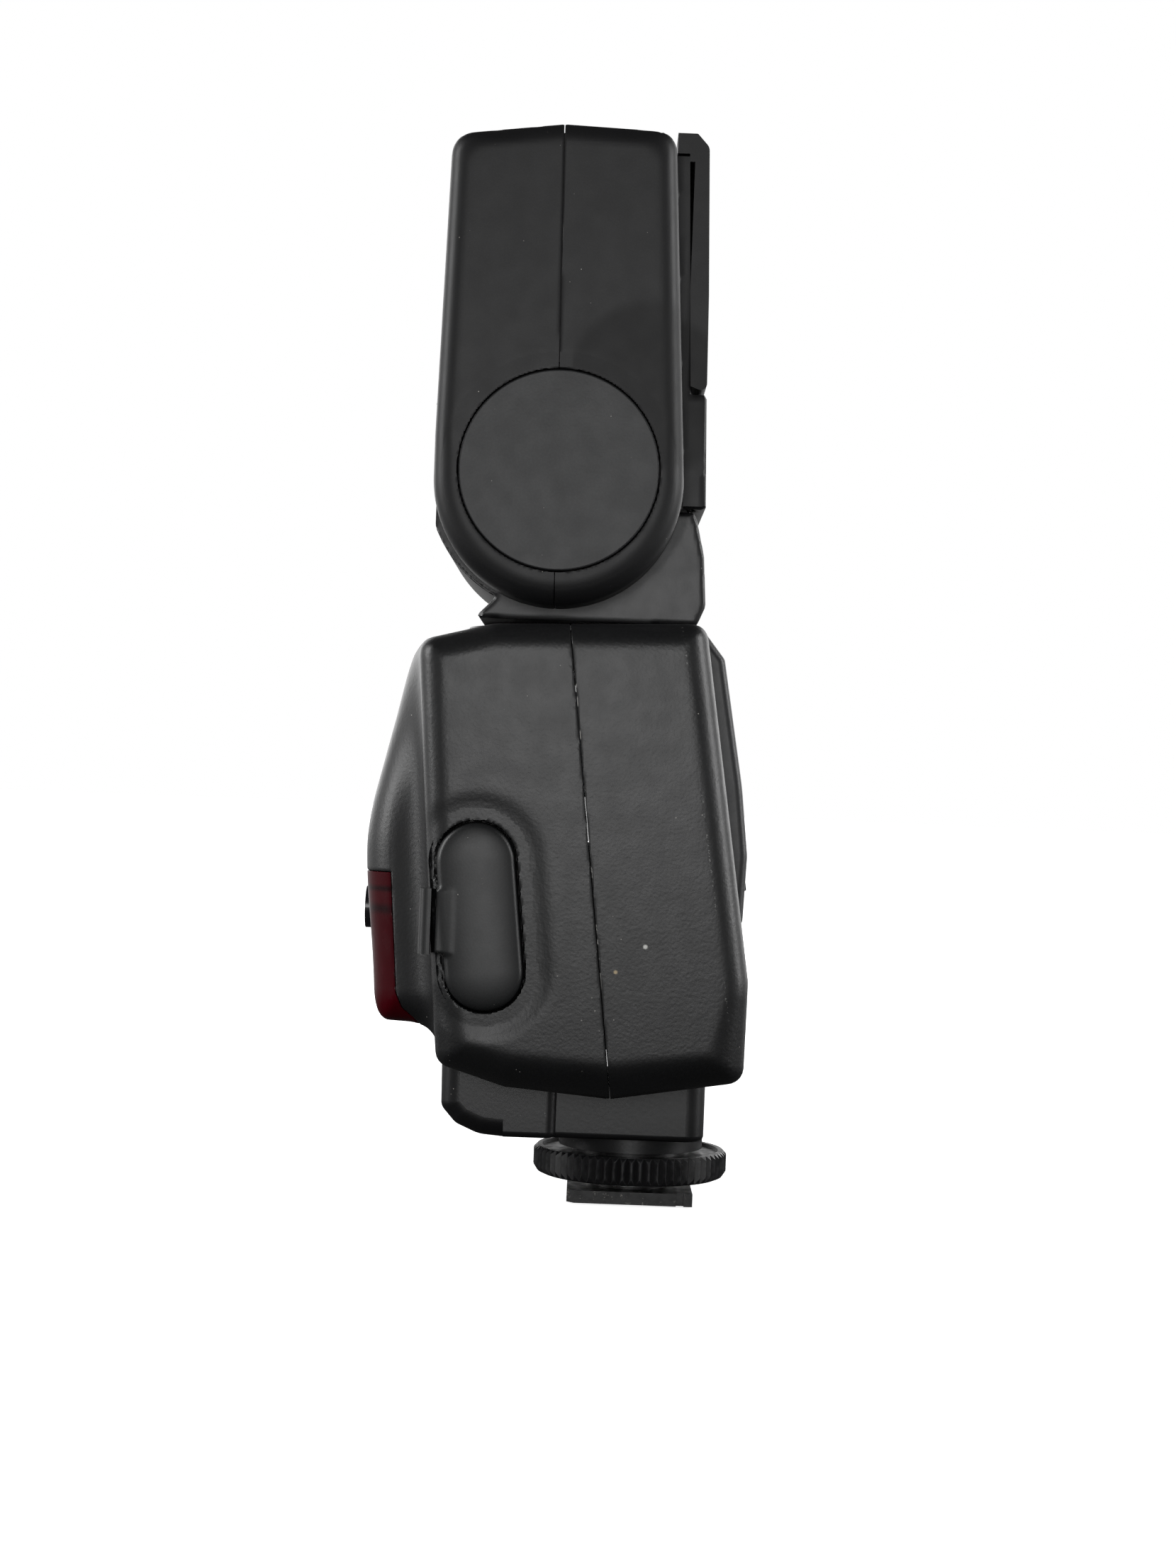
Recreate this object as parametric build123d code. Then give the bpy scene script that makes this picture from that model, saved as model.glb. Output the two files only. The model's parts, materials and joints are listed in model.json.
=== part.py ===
from build123d import *
import math
import os

# Speedlight flash standing on its shoe foot, head tilted straight up, all in millimetres.
# Origin: centre of the shoe foot's underside. +Z up, -Y the side that faces the subject,
# +Y the control panel, +X the side with the rubber terminal cover.

# ---- driving dimensions --------------------------------------------------------------
FOOT_WIDE, FOOT_LONG, FOOT_THICK = 18.6, 20.0, 2.0
POST_R, POST_TOP = 6.1, 16.0
WHEEL_R, WHEEL_Z0, WHEEL_Z1, KNURLS, KNURL_DEEP = 15.6, 3.7, 8.1, 72, 0.75
WASHER_R, WASHER_Z0, WASHER_Z1 = 11.8, 3.3, 4.2
BLOCK_Z0, BLOCK_REAR, BLOCK_STEP, CAP_SEAM = 10.9, 11.2, -12.1, -20.3
BLOCK_HALF, BLOCK_FRONT_HALF = 15.0, 16.5
PIN_HOLE_GAP = 0.06

BODY_HALF, WALL, BODY_ROUND = 39.0, 2.2, 3.4
BODY_OUTLINE = [(-35.1, 87.0), (-24.0, 89.9), (7.7, 91.0), (15.9, 38.0), (15.9, 22.6),
                (-4.0, 19.3), (-20.0, 20.6), (-30.3, 23.8)]
BODY_CORNERS = [2.6, 18.0, 2.0, 14.0, 3.0, 0.4, 14.0, 2.6]
SEAM_TOP, SEAM_BOTTOM = (-12.7, 90.7), (-4.0, 19.6)

NOSE_HALF, NOSE_ROUND = 25.0, 2.4
NOSE_OUTLINE = [(-34.2, 86.6), (-36.6, 84.0), (-42.7, 57.5), (-42.3, 51.0), (-39.9, 29.0),
                (-29.0, 29.0), (-29.0, 84.0)]
NOSE_CORNERS = [0, 6.0, 12.0, 10.0, 2.8, 0, 0]
WINDOW_TOP = 51.9
DIAL_X, DIAL_Z, DIAL_R = 10.0, 45.8, 3.3

REAR_POINT, REAR_TOP_POINT = (15.9, 38.0), (7.7, 91.0)
PANEL_HALF = 28.0
LCD_HALF_U, LCD_V0, LCD_V1, GLASS_W = 20.0, 1.0, 18.0, 1.7

DOOR_Y0, DOOR_Y1, DOOR_Z0, DOOR_Z1, DOOR_GAP = -22.0, 9.2, 25.6, 56.4, 0.3
CELL_R, CELL_LONG, CELL_PITCH = 7.1, 50.0, 15.4
CELL_Y, CELL_Z = -6.6, 40.8

TURRET_Y, RING_R, RING_TOP = -11.0, 18.2, 91.0
SLEEVE_R, SPIGOT_R, SPIGOT_BORE, SLEEVE_BOTTOM = 14.6, 12.6, 8.5, 84.6
TURRET_HALF, TURRET_Z0, CRADLE_R = 24.2, 91.3, 20.9

PIVOT_Y, PIVOT_Z, BARREL_R, BARREL_HALF = -15.2, 113.0, 20.4, 24.6
EAR_IN, EAR_OUT, EAR_GAP, PIN_R, PIN_END = 22.2, 24.2, 0.35, 4.0, 33.2
HEAD_HALF, HEAD_WALL, HEAD_ROUND = 36.0, 2.0, 2.6
HEAD_FRONT_TOP, HEAD_FRONT_LOW, HEAD_REAR_TOP = -33.0, -33.95, 0.6
HEAD_END_R, HEAD_END_Z = 18.75, 111.8
HEAD_TOP_FRONT, HEAD_TOP_RIDGE, HEAD_TOP_REAR = 163.0, 165.0, 164.5
HEAD_SEAM_TOP, HEAD_SEAM_LOW = -16.2, -15.2
DISC_R, DISC_THICK, BUTTON_R = 15.0, 1.6, 6.0
RIDGE_HALF, RIDGE_TOP = 26.0, 163.0
CARD_COVER_Z0, CARD_COVER_Y, CARD_COVER_TOP, CARD_COVER_TOP_Y = 126.6, 4.2, 166.2, 2.8
CARD_HALF, CARD_Z0, CARD_Z1 = 22.0, 131.0, 165.4


# ---- small helpers -------------------------------------------------------------------
def block(x0, x1, y0, y1, z0, z1):
    """A box between two corners."""
    middle = Pos((x0 + x1) / 2, (y0 + y1) / 2, (z0 + z1) / 2)
    return middle * Box(x1 - x0, y1 - y0, z1 - z0)


def rod_z(x, y, r, z0, z1):
    return Pos(x, y, (z0 + z1) / 2) * Cylinder(r, z1 - z0)


def rod_x(y, z, r, x0, x1):
    return Pos((x0 + x1) / 2, y, z) * Rot(0, 90, 0) * Cylinder(r, x1 - x0)


def rod_y(x, z, r, y0, y1):
    return Pos(x, (y0 + y1) / 2, z) * Rot(90, 0, 0) * Cylinder(r, y1 - y0)


def side_face(points, radii=0.0):
    """A closed outline in the YZ plane with its corners rounded."""
    if radii == 0.0:
        radii = [0.0] * len(points)
    return Plane.YZ * make_face(FilletPolyline(*points, radius=radii, close=True))


def across(face, half, start=None):
    """A side outline pushed out from X = start (or -half) to X = half."""
    low = -half if start is None else start
    return Pos(low, 0, 0) * extrude(face, amount=half - low)


def both_sides(shape):
    return shape + mirror(shape, about=Plane.YZ)


def joined(pieces):
    """Separate solids kept apart in one node."""
    return Compound(children=[s for p in pieces for s in p.solids()])


def on_arc(radius, degrees):
    """A point in YZ at this radius and angle about the tilt pivot."""
    a = math.radians(degrees)
    return PIVOT_Y + radius * math.cos(a), PIVOT_Z + radius * math.sin(a)


def cut_by_seam(shell, top, bottom):
    """The front and the rear part of a shell, either side of a slanted seam line."""
    (y1, z1), (y0, z0) = top, bottom
    slope = (y1 - y0) / (z1 - z0)
    line = [(y0 + slope * (z - z0), z) for z in (0, 200)]
    front = side_face([(-80, 0), line[0], line[1], (-80, 200)])
    rear = side_face([(80, 200), line[1], line[0], (80, 0)])
    return shell & across(front, 60), shell & across(rear, 60)


# ---- rear face: u to the viewer's right, v up the slope, w outwards ---------------------
rear_run = REAR_TOP_POINT[0] - REAR_POINT[0], REAR_TOP_POINT[1] - REAR_POINT[1]
rear_len = math.hypot(*rear_run)
REAR_N = (0, rear_run[1] / rear_len, -rear_run[0] / rear_len)
REAR_Z = 66.0
REAR_Y = REAR_POINT[0] + (REAR_Z - REAR_POINT[1]) * rear_run[0] / rear_run[1]
rear_plane = Plane(origin=(0, REAR_Y, REAR_Z), x_dir=(-1, 0, 0), z_dir=REAR_N)


def on_rear(u0, u1, v0, v1, w0, w1, corner=0.0):
    """A rounded tile standing on the rear face."""
    wide, tall = u1 - u0, v1 - v0
    face = Rectangle(wide, tall) if corner == 0 else RectangleRounded(wide, tall, corner)
    return rear_plane * Pos((u0 + u1) / 2, (v0 + v1) / 2, w0) * extrude(face, amount=w1 - w0)


def round_on_rear(u, v, r, w0, w1):
    return rear_plane * Pos(u, v, (w0 + w1) / 2) * Cylinder(r, w1 - w0)


# ---- outer and inner forms ---------------------------------------------------------------
def body_forms():
    """The body's outer form without its nose, and the hollow inside it."""
    face = side_face(BODY_OUTLINE, BODY_CORNERS)
    outer = across(face, BODY_HALF)
    rims = outer.edges().filter_by(lambda e: abs(abs(e.center().X) - BODY_HALF) < 0.01)
    outer = fillet(rims, BODY_ROUND)
    inner = across(offset(side_face(BODY_OUTLINE), amount=-WALL), BODY_HALF - WALL)
    return outer, inner


def nose_forms():
    """The bulge on the front of the body, and its hollow."""
    outer = across(side_face(NOSE_OUTLINE, NOSE_CORNERS), NOSE_HALF)
    rims = outer.edges().filter_by(
        lambda e: abs(abs(e.center().X) - NOSE_HALF) < 0.01 and e.center().Y < -30.5)
    outer = fillet(rims, NOSE_ROUND)
    inner = across(offset(side_face(NOSE_OUTLINE), amount=-1.8), NOSE_HALF - 2.2)
    return outer, inner + block(-20, 20, -32, -28.5, 34, 80)


def head_outline(shrink):
    """The side outline of the head: tapered, with a round end below the pivot."""
    low, high = HEAD_END_Z, HEAD_TOP_RIDGE
    r = HEAD_END_R - shrink
    front_low, rear_low = PIVOT_Y - r, PIVOT_Y + r
    front_top, rear_top = HEAD_FRONT_TOP + shrink, HEAD_REAR_TOP - shrink
    lift = 0 if shrink == 0 else 8
    with BuildSketch(Plane.YZ) as sk:
        with BuildLine():
            Line((front_low, low), (front_top, HEAD_TOP_FRONT + lift))
            Line((front_top, HEAD_TOP_FRONT + lift), (HEAD_SEAM_TOP, high + lift))
            Line((HEAD_SEAM_TOP, high + lift), (rear_top, HEAD_TOP_REAR + lift))
            Line((rear_top, HEAD_TOP_REAR + lift), (rear_low, low))
            ThreePointArc((rear_low, low), (PIVOT_Y, low - r), (front_low, low))
        make_face()
        if shrink == 0:
            tops = [v for v in sk.vertices() if v.Z > 162 and abs(v.Y - HEAD_SEAM_TOP) > 2]
            fillet(tops, 2.6)
    return sk.sketch


def head_forms():
    """The head's outer form with the barrel between its cheeks, and its hollow."""
    outer = across(head_outline(0), HEAD_HALF)
    rims = outer.edges().filter_by(lambda e: abs(abs(e.center().X) - HEAD_HALF) < 0.01)
    outer = fillet(rims, HEAD_ROUND)
    keep = block(-60, 60, HEAD_FRONT_LOW, 60, 80, PIVOT_Z + 10)
    barrel = rod_x(PIVOT_Y, PIVOT_Z, BARREL_R, -BARREL_HALF, BARREL_HALF) & keep
    ridge = side_face([(0.2, 109.0), (7.3, 109.0), (6.75, CARD_COVER_Z0),
                       (CARD_COVER_Y, CARD_COVER_Z0 + 1), (CARD_COVER_TOP_Y, RIDGE_TOP),
                       (0.8, RIDGE_TOP), (0.8, CARD_COVER_TOP), (-0.6, CARD_COVER_TOP), (-1.0, 140.0)])
    ridge_bar = across(ridge, RIDGE_HALF)
    hollow = across(head_outline(HEAD_WALL), HEAD_HALF - HEAD_WALL)
    round_hollow = rod_x(PIVOT_Y, PIVOT_Z, BARREL_R - HEAD_WALL, -BARREL_HALF + 1.2, BARREL_HALF - 1.2)
    round_hollow = round_hollow & block(-60, 60, HEAD_FRONT_LOW + HEAD_WALL, 60, 80, PIVOT_Z + 10)
    return outer + barrel + ridge_bar, hollow + round_hollow


body_outer, body_inner = body_forms()
nose_outer, nose_inner = nose_forms()
head_outer, head_inner = head_forms()


# ---- foot and its lock ---------------------------------------------------------------------
CONTACTS = [(0, 0.4), (-3.4, 2.8), (3.4, 2.8), (-3.4, -1.8), (3.4, -1.8)]
CONTACT_R, CONTACT_LONG, LOCK_PIN_Y, LOCK_PIN_R = 0.75, 5.0, -4.6, 1.0


def foot_parts():
    plate = block(-FOOT_WIDE / 2, FOOT_WIDE / 2, -FOOT_LONG / 2, FOOT_LONG / 2, 0, FOOT_THICK)
    plate = chamfer(plate.edges().filter_by(Axis.Z).sort_by(Axis.Y)[:2], 1.2)
    notch = both_sides(block(FOOT_WIDE / 2 - 0.8, 12, 7.4, 8.6, -1, 3))
    holes = [rod_z(x, y, CONTACT_R + PIN_HOLE_GAP, -1, 7.0) for x, y in CONTACTS]
    holes.append(rod_z(0, LOCK_PIN_Y, LOCK_PIN_R + PIN_HOLE_GAP, -1, 7.0))
    plate = plate - notch - holes
    post = rod_z(0, 0, POST_R, FOOT_THICK, POST_TOP) - holes
    contacts = joined([rod_z(x, y, CONTACT_R, 0, CONTACT_LONG) for x, y in CONTACTS])
    lock_pin = rod_z(0, LOCK_PIN_Y, LOCK_PIN_R, 0, 5.4)
    washer = rod_z(0, 0, WASHER_R, WASHER_Z0, WASHER_Z1) - rod_z(0, 0, POST_R + 0.1, 0, 9)
    return plate, post, contacts, lock_pin, washer


def lock_wheel():
    """A ring with V knurls, chamfered below, dished on top and below."""
    points = []
    for i in range(2 * KNURLS):
        r = WHEEL_R if i % 2 == 0 else WHEEL_R - KNURL_DEEP
        a = math.pi * i / KNURLS
        points.append((r * math.cos(a), r * math.sin(a)))
    star = make_face(Polyline(*points, close=True))
    ring = Pos(0, 0, WHEEL_Z0) * extrude(star, amount=WHEEL_Z1 - WHEEL_Z0)
    profile = [(0, WHEEL_Z0), (14.3, WHEEL_Z0), (15.0, 4.0), (WHEEL_R, 4.9), (WHEEL_R, 7.5),
               (15.0, WHEEL_Z1), (0, WHEEL_Z1)]
    envelope = revolve(Plane.XZ * make_face(Polyline(*profile, close=True)), Axis.Z)
    top_dish = rod_z(0, 0, 14.2, WHEEL_Z1 - 0.5, 9) - rod_z(0, 0, 9.6, 7, 9)
    under_dish = rod_z(0, 0, WASHER_R + 0.3, 3, WASHER_Z1 + 0.1)
    return (ring & envelope) - top_dish - under_dish - rod_z(0, 0, POST_R + 0.08, 0, 10)


def foot_block_parts():
    """The block under the body that carries the foot, and the cap on its front end."""
    rear = RectangleRounded(2 * BLOCK_HALF, BLOCK_REAR - BLOCK_STEP + 8, 3.0)
    front = RectangleRounded(2 * BLOCK_FRONT_HALF, BLOCK_STEP - CAP_SEAM + 6, 1.6)
    plan = Pos(0, (BLOCK_REAR + BLOCK_STEP - 8) / 2) * rear
    plan = plan + Pos(0, (BLOCK_STEP + CAP_SEAM - 6) / 2) * front
    tall = Pos(0, 0, BLOCK_Z0) * extrude(plan, amount=14)
    tall = fillet(tall.faces().sort_by(Axis.Z)[0].edges(), 1.0)
    behind = block(-30, 30, CAP_SEAM, 30, 0, 40)
    collar = rod_z(0, 0, 11.6, 8.4, BLOCK_Z0 + 0.2)
    main = (tall & behind) + collar - body_outer - rod_z(0, 0, POST_R, 0, POST_TOP)
    face = side_face([(CAP_SEAM, 10.7), (-24.2, 11.0), (-27.9, 12.6), (-30.2, 15.2), (-30.4, 26),
                      (CAP_SEAM, 26)], [0, 6, 3, 2, 0, 0])
    cap = across(face, BLOCK_FRONT_HALF)
    corner = cap.edges().filter_by(lambda e: abs(abs(e.center().X) - BLOCK_FRONT_HALF) < 0.01)
    corner = [e for e in corner if e.center().Y < -22 and e.center().Z < 25.5]
    cap = fillet(corner, 3.0) - body_outer
    cavity = block(-12.5, 12.5, -26.0, CAP_SEAM, 13.5, 19.0)
    return main, cap - cavity


# ---- body shells and what is let into them ---------------------------------------------------
# Terminal cover: a stadium on the +X side, leaning with the front edge.
COVER_R, COVER_LOW, COVER_HIGH = 5.9, (-23.4, 38.2), (-25.2, 54.4)
STRAP_Z0, STRAP_Z1, STRAP_FRONT, STRAP_REAR, STRAP_OUT = 40.5, 50.2, -33.3, -31.55, 39.3
COVER_HINGE_Y, HINGE_BEAD_R = -31.0, 0.45


def stadium(radius, x0, x1):
    """A lozenge with round ends on the +X side."""
    run = COVER_HIGH[0] - COVER_LOW[0], COVER_HIGH[1] - COVER_LOW[1]
    length = math.hypot(*run)
    lean = math.degrees(math.atan2(-run[0], run[1]))
    face = Rot(0, 0, 90) * SlotCenterToCenter(length, 2 * radius)
    middle = (COVER_HIGH[0] + COVER_LOW[0]) / 2, (COVER_HIGH[1] + COVER_LOW[1]) / 2
    return Plane.YZ * Pos(middle[0], middle[1], x0) * Rot(0, 0, lean) * extrude(face, amount=x1 - x0)


def battery_parts():
    ys = [CELL_Y - CELL_PITCH / 2, CELL_Y + CELL_PITCH / 2]
    zs = [CELL_Z - CELL_PITCH / 2, CELL_Z + CELL_PITCH / 2]
    seats = [(y, z) for y in ys for z in zs]
    x0, x1 = -36.2, 17.6
    box = block(x0, x1, -22.1, 8.9, 25.3, 56.3)
    box = box - [rod_x(y, z, CELL_R + 0.25, x0 - 1, x1 - 1.6) for y, z in seats]
    cells = []
    for i, (y, z) in enumerate(seats):
        start = x0 + 1.0
        body = rod_x(y, z, CELL_R, start + 0.9, start + CELL_LONG - 0.9)
        nub_x = start + CELL_LONG - 0.9 if i % 2 else start
        flat_x = start if i % 2 else start + CELL_LONG - 0.9
        cells.append(body + rod_x(y, z, 2.7, nub_x, nub_x + 0.9) + rod_x(y, z, 5.0, flat_x, flat_x + 0.9))
    springs = [rod_x(y, z, 3.2, x0 + 1.0 + CELL_LONG, x1 - 1.6) for y, z in seats]
    return box, joined(cells), joined(springs)


def battery_door():
    """The side door: a plate with a round rear edge that turns on its pin, and a latch slot."""
    x_out, x_in = -38.7, -36.5
    hinge_x = (x_out + x_in) / 2
    gap = DOOR_GAP
    plate = block(x_out, x_in, DOOR_Y0 + gap, DOOR_Y1, DOOR_Z0 + gap, DOOR_Z1 - gap)
    knuckle = rod_z(hinge_x, DOOR_Y1, (x_in - x_out) / 2, DOOR_Z0 + gap, DOOR_Z1 - gap)
    ribs = [block(x_out - 0.3, x_out, -19 + 1.6 * i, -18.2 + 1.6 * i, 36, 46) for i in range(4)]
    slot = block(x_out - 1, x_in + 0.8, -13.3, -6.7, 37.7, 44.3)
    pin = rod_z(hinge_x, DOOR_Y1, 0.55, DOOR_Z0 - 1.6, DOOR_Z1 + 1.6)
    pin_hole = rod_z(hinge_x, DOOR_Y1, 0.61, 0, 90)
    opening = block(-50, -30, DOOR_Y0, DOOR_Y1 + 1.4, DOOR_Z0, DOOR_Z1)
    latch = block(x_out - 0.5, x_in - 0.9, -11.0, -7.0, 38.0, 44.0)
    latch = latch - block(x_out - 1, x_out, -9.4, -8.6, 38.6, 43.4)
    plates = [block(x_in, x_in + 0.15, -20, 7, z - 5, z + 5) for z in (CELL_Z - 7.7, CELL_Z + 7.7)]
    return plate + knuckle + joined(ribs) - slot - pin_hole, pin, opening, latch, joined(plates)


def terminal_parts():
    """The rubber flap over the side sockets, the strap that holds it, and the socket block."""
    flap = stadium(COVER_R, 37.0, 39.7)
    rim = flap.faces().sort_by(Axis.X)[-1].edges()
    flap = fillet(rim, 1.5)
    tongue = block(37.4, STRAP_OUT, COVER_HINGE_Y, -26.0, STRAP_Z0, STRAP_Z1)
    bead = rod_z(STRAP_OUT - HINGE_BEAD_R, COVER_HINGE_Y, HINGE_BEAD_R, STRAP_Z0, STRAP_Z1)
    flap = flap + tongue + bead
    hollow = stadium(COVER_R - 1.6, 36.0, 38.0)
    strap = block(35.0, STRAP_OUT, STRAP_FRONT, STRAP_REAR, STRAP_Z0, STRAP_Z1)
    strap = fillet(strap.edges().filter_by(Axis.Z).sort_by(Axis.X)[-2:].sort_by(Axis.Y)[0:1], 1.3)
    strap = strap - block(30, 37.2, STRAP_REAR - 0.2, 0, 30, 60)
    pocket = stadium(COVER_R + 0.3, 36.4, 45)
    pocket = pocket + block(36.9, 45, STRAP_FRONT - 1, -26, STRAP_Z0 - 0.2, STRAP_Z1 + 0.2)
    through = stadium(COVER_R - 1.4, 30, 45)
    base = stadium(COVER_R - 1.8, 30.0, 36.6)
    y, z = COVER_HIGH
    collar = rod_x(y, z, 2.4, 35.4, 36.9) - rod_x(y, z, 1.7, 35, 41)
    power = block(35.0, 40, -26.2, -22.0, 36.4, 46.0)
    base = base - power - rod_x(y, z, 2.4, 34.6, 40) + rod_x(y, z, 0.5, 33.0, 36.8)
    pins = [rod_x(-24.1, z, 0.5, 33.0, 36.6) for z in (38.4, 41.2, 44.0)]
    base = base + collar + rod_x(y, z, 2.4, 34.6, 35.4) + pins
    return flap - hollow, strap, pocket + through, base


KEY_FLOOR, LOW_TOP = 0.75, 2.0
KEYS = {
    "mode_key": (-20.0, -4.5, 7.6, 4.2, 2.6),
    "zoom_key": (-6.7, -4.5, 7.6, 4.2, 2.6),
    "minus_key": (6.7, -4.5, 7.6, 4.2, 2.6),
    "plus_key": (20.0, -4.5, 7.6, 4.2, 2.6),
    "select_key": (-17.5, -13.0, 9.0, 5.0, LOW_TOP),
}
POWER_U, POWER_V, TEST_U, TEST_V, TEST_R = 17.0, -13.0, 0.0, -13.0, 3.4


def panel_parts():
    """The raised rear panel with its display, keys, power slide and test button."""
    face = side_face([(7.0, 90.2), (8.0, 90.0), (11.0, 86.2), (14.35, 67.0), (15.55, 56.5), (15.2, 46.5),
                      (13.9, 44.4), (9.0, 44.4), (5.0, 86.0)], [0, 1, 1.5, 40, 8, 1.2, 0, 0, 0])
    raised = across(face, PANEL_HALF)
    sides = [e for e in raised.edges() if abs(abs(e.center().X) - PANEL_HALF) < 0.01 and e.center().Y > 10]
    raised = fillet(sides, 1.2) - body_outer
    well = on_rear(-25.5, 25.5, -18.5, 20.5, -6, 1.6, 2.0)
    panel = raised - well + on_rear(-25.2, 25.2, -0.6, 0.0, 0.1, 1.6)
    rim = LCD_HALF_U + 2
    glass_seat = on_rear(-rim, rim, LCD_V0 - 1.2, LCD_V1 + 1.2, GLASS_W, 9, 1.5)
    view = on_rear(-LCD_HALF_U, LCD_HALF_U, LCD_V0, LCD_V1, 0, 9, 1.0)
    panel = panel - glass_seat - view
    glass = on_rear(0.2 - rim, rim - 0.2, LCD_V0 - 1.0, LCD_V1 + 1.0, GLASS_W, GLASS_W + 1.1, 1.4)
    module = on_rear(-rim, rim, LCD_V0 - 0.8, LCD_V1 + 1.4, -1.8, 1.4, 0)
    keys = {}
    for name, (u, v, wide, tall, top) in KEYS.items():
        panel = panel - on_rear(u - wide / 2 - 0.25, u + wide / 2 + 0.25, v - tall / 2 - 0.25,
                                v + tall / 2 + 0.25, 0, 9, 1.35)
        keys[name] = on_rear(u - wide / 2, u + wide / 2, v - tall / 2, v + tall / 2, KEY_FLOOR, top, 1.1)
    panel = panel - round_on_rear(TEST_U, TEST_V, TEST_R + 0.25, 0, 9)
    keys["test_button"] = round_on_rear(TEST_U, TEST_V, TEST_R, KEY_FLOOR, LOW_TOP)
    lane = on_rear(POWER_U - 6.2, POWER_U + 6.2, POWER_V - 2.8, POWER_V + 2.8, 0, 9, 1.2)
    panel = panel - lane
    start = POWER_U - 5.9
    grip = on_rear(start, start + 7.6, POWER_V - 2.5, POWER_V + 2.5, 0.4, LOW_TOP, 1.0)
    grooves = []
    for i in range(3):
        u = start + 1.7 + 1.5 * i
        grooves.append(on_rear(u, u + 0.7, POWER_V - 3, POWER_V + 3, LOW_TOP - 0.6, 5))
    power = grip - joined(grooves)
    board = on_rear(-24.4, 24.4, -17.6, -0.9, -1.6, 0.0)
    return panel, glass, module, keys, power, board


def shell_parts():
    """The two body shells with their openings, and the red window in the nose."""
    hollow = body_inner + nose_inner
    shell = body_outer + nose_outer - hollow
    region = side_face([(-60, WINDOW_TOP), (-38.7, WINDOW_TOP), (-37.2, 33.0), (-34.0, 28.9),
                        (-34.0, 20), (-60, 20)], [0, 1.6, 4, 2, 0, 0])
    window_zone = across(region, 40)
    window = (nose_outer - nose_inner) & window_zone
    window = window - body_outer - rod_y(DIAL_X, DIAL_Z, DIAL_R + 0.3, -60, -36)
    shell = shell - window_zone - rod_z(0, TURRET_Y, SLEEVE_R + 1.4, 80, 100)
    shell = shell + (body_outer - body_inner) - rod_z(0, TURRET_Y, SLEEVE_R + 1.4, 80, 100)
    shell = shell - block(-22, 22, -36, -28, 33, 50) - nose_inner
    shell = shell - on_rear(-25, 25, -18.2, 20.2, -8, 0.5, 1.5)
    shell = shell - block(-12, 12, -12, 9, 15, 24)
    return shell, window


def dial_and_lamp():
    """The dished selector in the red window, the focus lamp behind it and the light sensor."""
    front = -43.4
    dial = rod_y(DIAL_X, DIAL_Z, DIAL_R, front, -37.4)
    dish = Pos(DIAL_X, front - 5.6, DIAL_Z) * Sphere(6.4)
    slot = block(DIAL_X - 0.4, DIAL_X + 0.4, front - 1, front + 1.2, DIAL_Z - 2.6, DIAL_Z + 2.6)
    dial = dial - dish - slot
    lamp_case = block(-18, -6, -37.0, -31.5, 35, 47)
    lamp = lamp_case + rod_y(-12, 41, 4.6, -37.8, -37.0)
    sensor = block(2, 16, -36.6, -33.0, 33.4, 40.4) + rod_y(9, 36.9, 2.4, -37.2, -36.6)
    return dial, lamp, sensor


# ---- turret ---------------------------------------------------------------------------------
def turret_parts():
    """The swivelling saddle: cradle and rear wedge, two ears to the tilt pins, and its spigot."""
    cradle = side_face([(-27.0, TURRET_Z0), (-27.0, 92.0), (-24.3, 94.3), (-24.3, 99), (-5, 104),
                        (4.2, 108.6), (5.6, 108.6), (6.2, 107.4), (7.4, 102.0), (7.9, 94.6),
                        (6.6, TURRET_Z0)], [0, 0, 0, 0, 0, 0, 0.6, 0, 12, 0.8, 0])
    saddle = across(cradle, TURRET_HALF) - rod_x(PIVOT_Y, PIVOT_Z, CRADLE_R, -40, 40)
    start, stop = -206.0, -14.0
    fan = [(PIVOT_Y, PIVOT_Z)]
    fan += [on_arc(40, start + (stop - start) * i / 6) for i in range(7)]
    sector = across(side_face(fan), 60)
    plate = rod_x(PIVOT_Y, PIVOT_Z, BARREL_R - 0.1, EAR_IN, EAR_OUT) & sector
    plate = plate & block(-60, 60, HEAD_FRONT_LOW, 60, 80, 200)
    lug = rod_x(PIVOT_Y, PIVOT_Z, 9.0, EAR_IN, EAR_OUT)
    foot = block(EAR_IN, EAR_OUT, -23.6, 0.0, TURRET_Z0, 100.0) & rod_x(PIVOT_Y, PIVOT_Z, 22.4, 0, 60)
    ear = plate + lug + foot - rod_x(PIVOT_Y, PIVOT_Z, PIN_R + 0.05, 0, 60)
    spigot = rod_z(0, TURRET_Y, SPIGOT_R, SLEEVE_BOTTOM - 1.7, TURRET_Z0 + 0.1)
    turret = saddle + both_sides(ear) + spigot
    turret = turret - rod_z(0, TURRET_Y, SPIGOT_BORE, 80, TURRET_Z0 - 0.7)
    turret = turret - rod_z(0, PIVOT_Y, 4.5, 80, 100)
    retainer = rod_z(0, TURRET_Y, 14.4, SLEEVE_BOTTOM - 1.7, SLEEVE_BOTTOM - 0.3)
    retainer = retainer - rod_z(0, TURRET_Y, SPIGOT_R, 70, 100)
    ring = rod_z(0, TURRET_Y, RING_R, 86, RING_TOP) - body_outer
    sleeve = rod_z(0, TURRET_Y, SLEEVE_R + 1.4, SLEEVE_BOTTOM, RING_TOP)
    ring = ring + sleeve - rod_z(0, TURRET_Y, SPIGOT_R + 0.3, 70, 100)
    return turret, retainer, ring


# ---- head -----------------------------------------------------------------------------------
SCREW_X, SCREW_Y, ROD_X = 12.0, -5.5, 26.5
SCREW_HEAD_R, SCREW_HEAD_H = 1.7, 1.2
BODY_SCREWS = [(x, y, 24.0) for x in (-31.0, 31.0) for y in (-26.2, 11.8)]
HEAD_SCREWS = [(x, y, z) for x in (-31.0, 31.0) for y, z in ((1.8, 119.5), (-0.3, 157.0))]
LENS_Z0, LENS_Z1 = 160.2, 163.0


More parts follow.
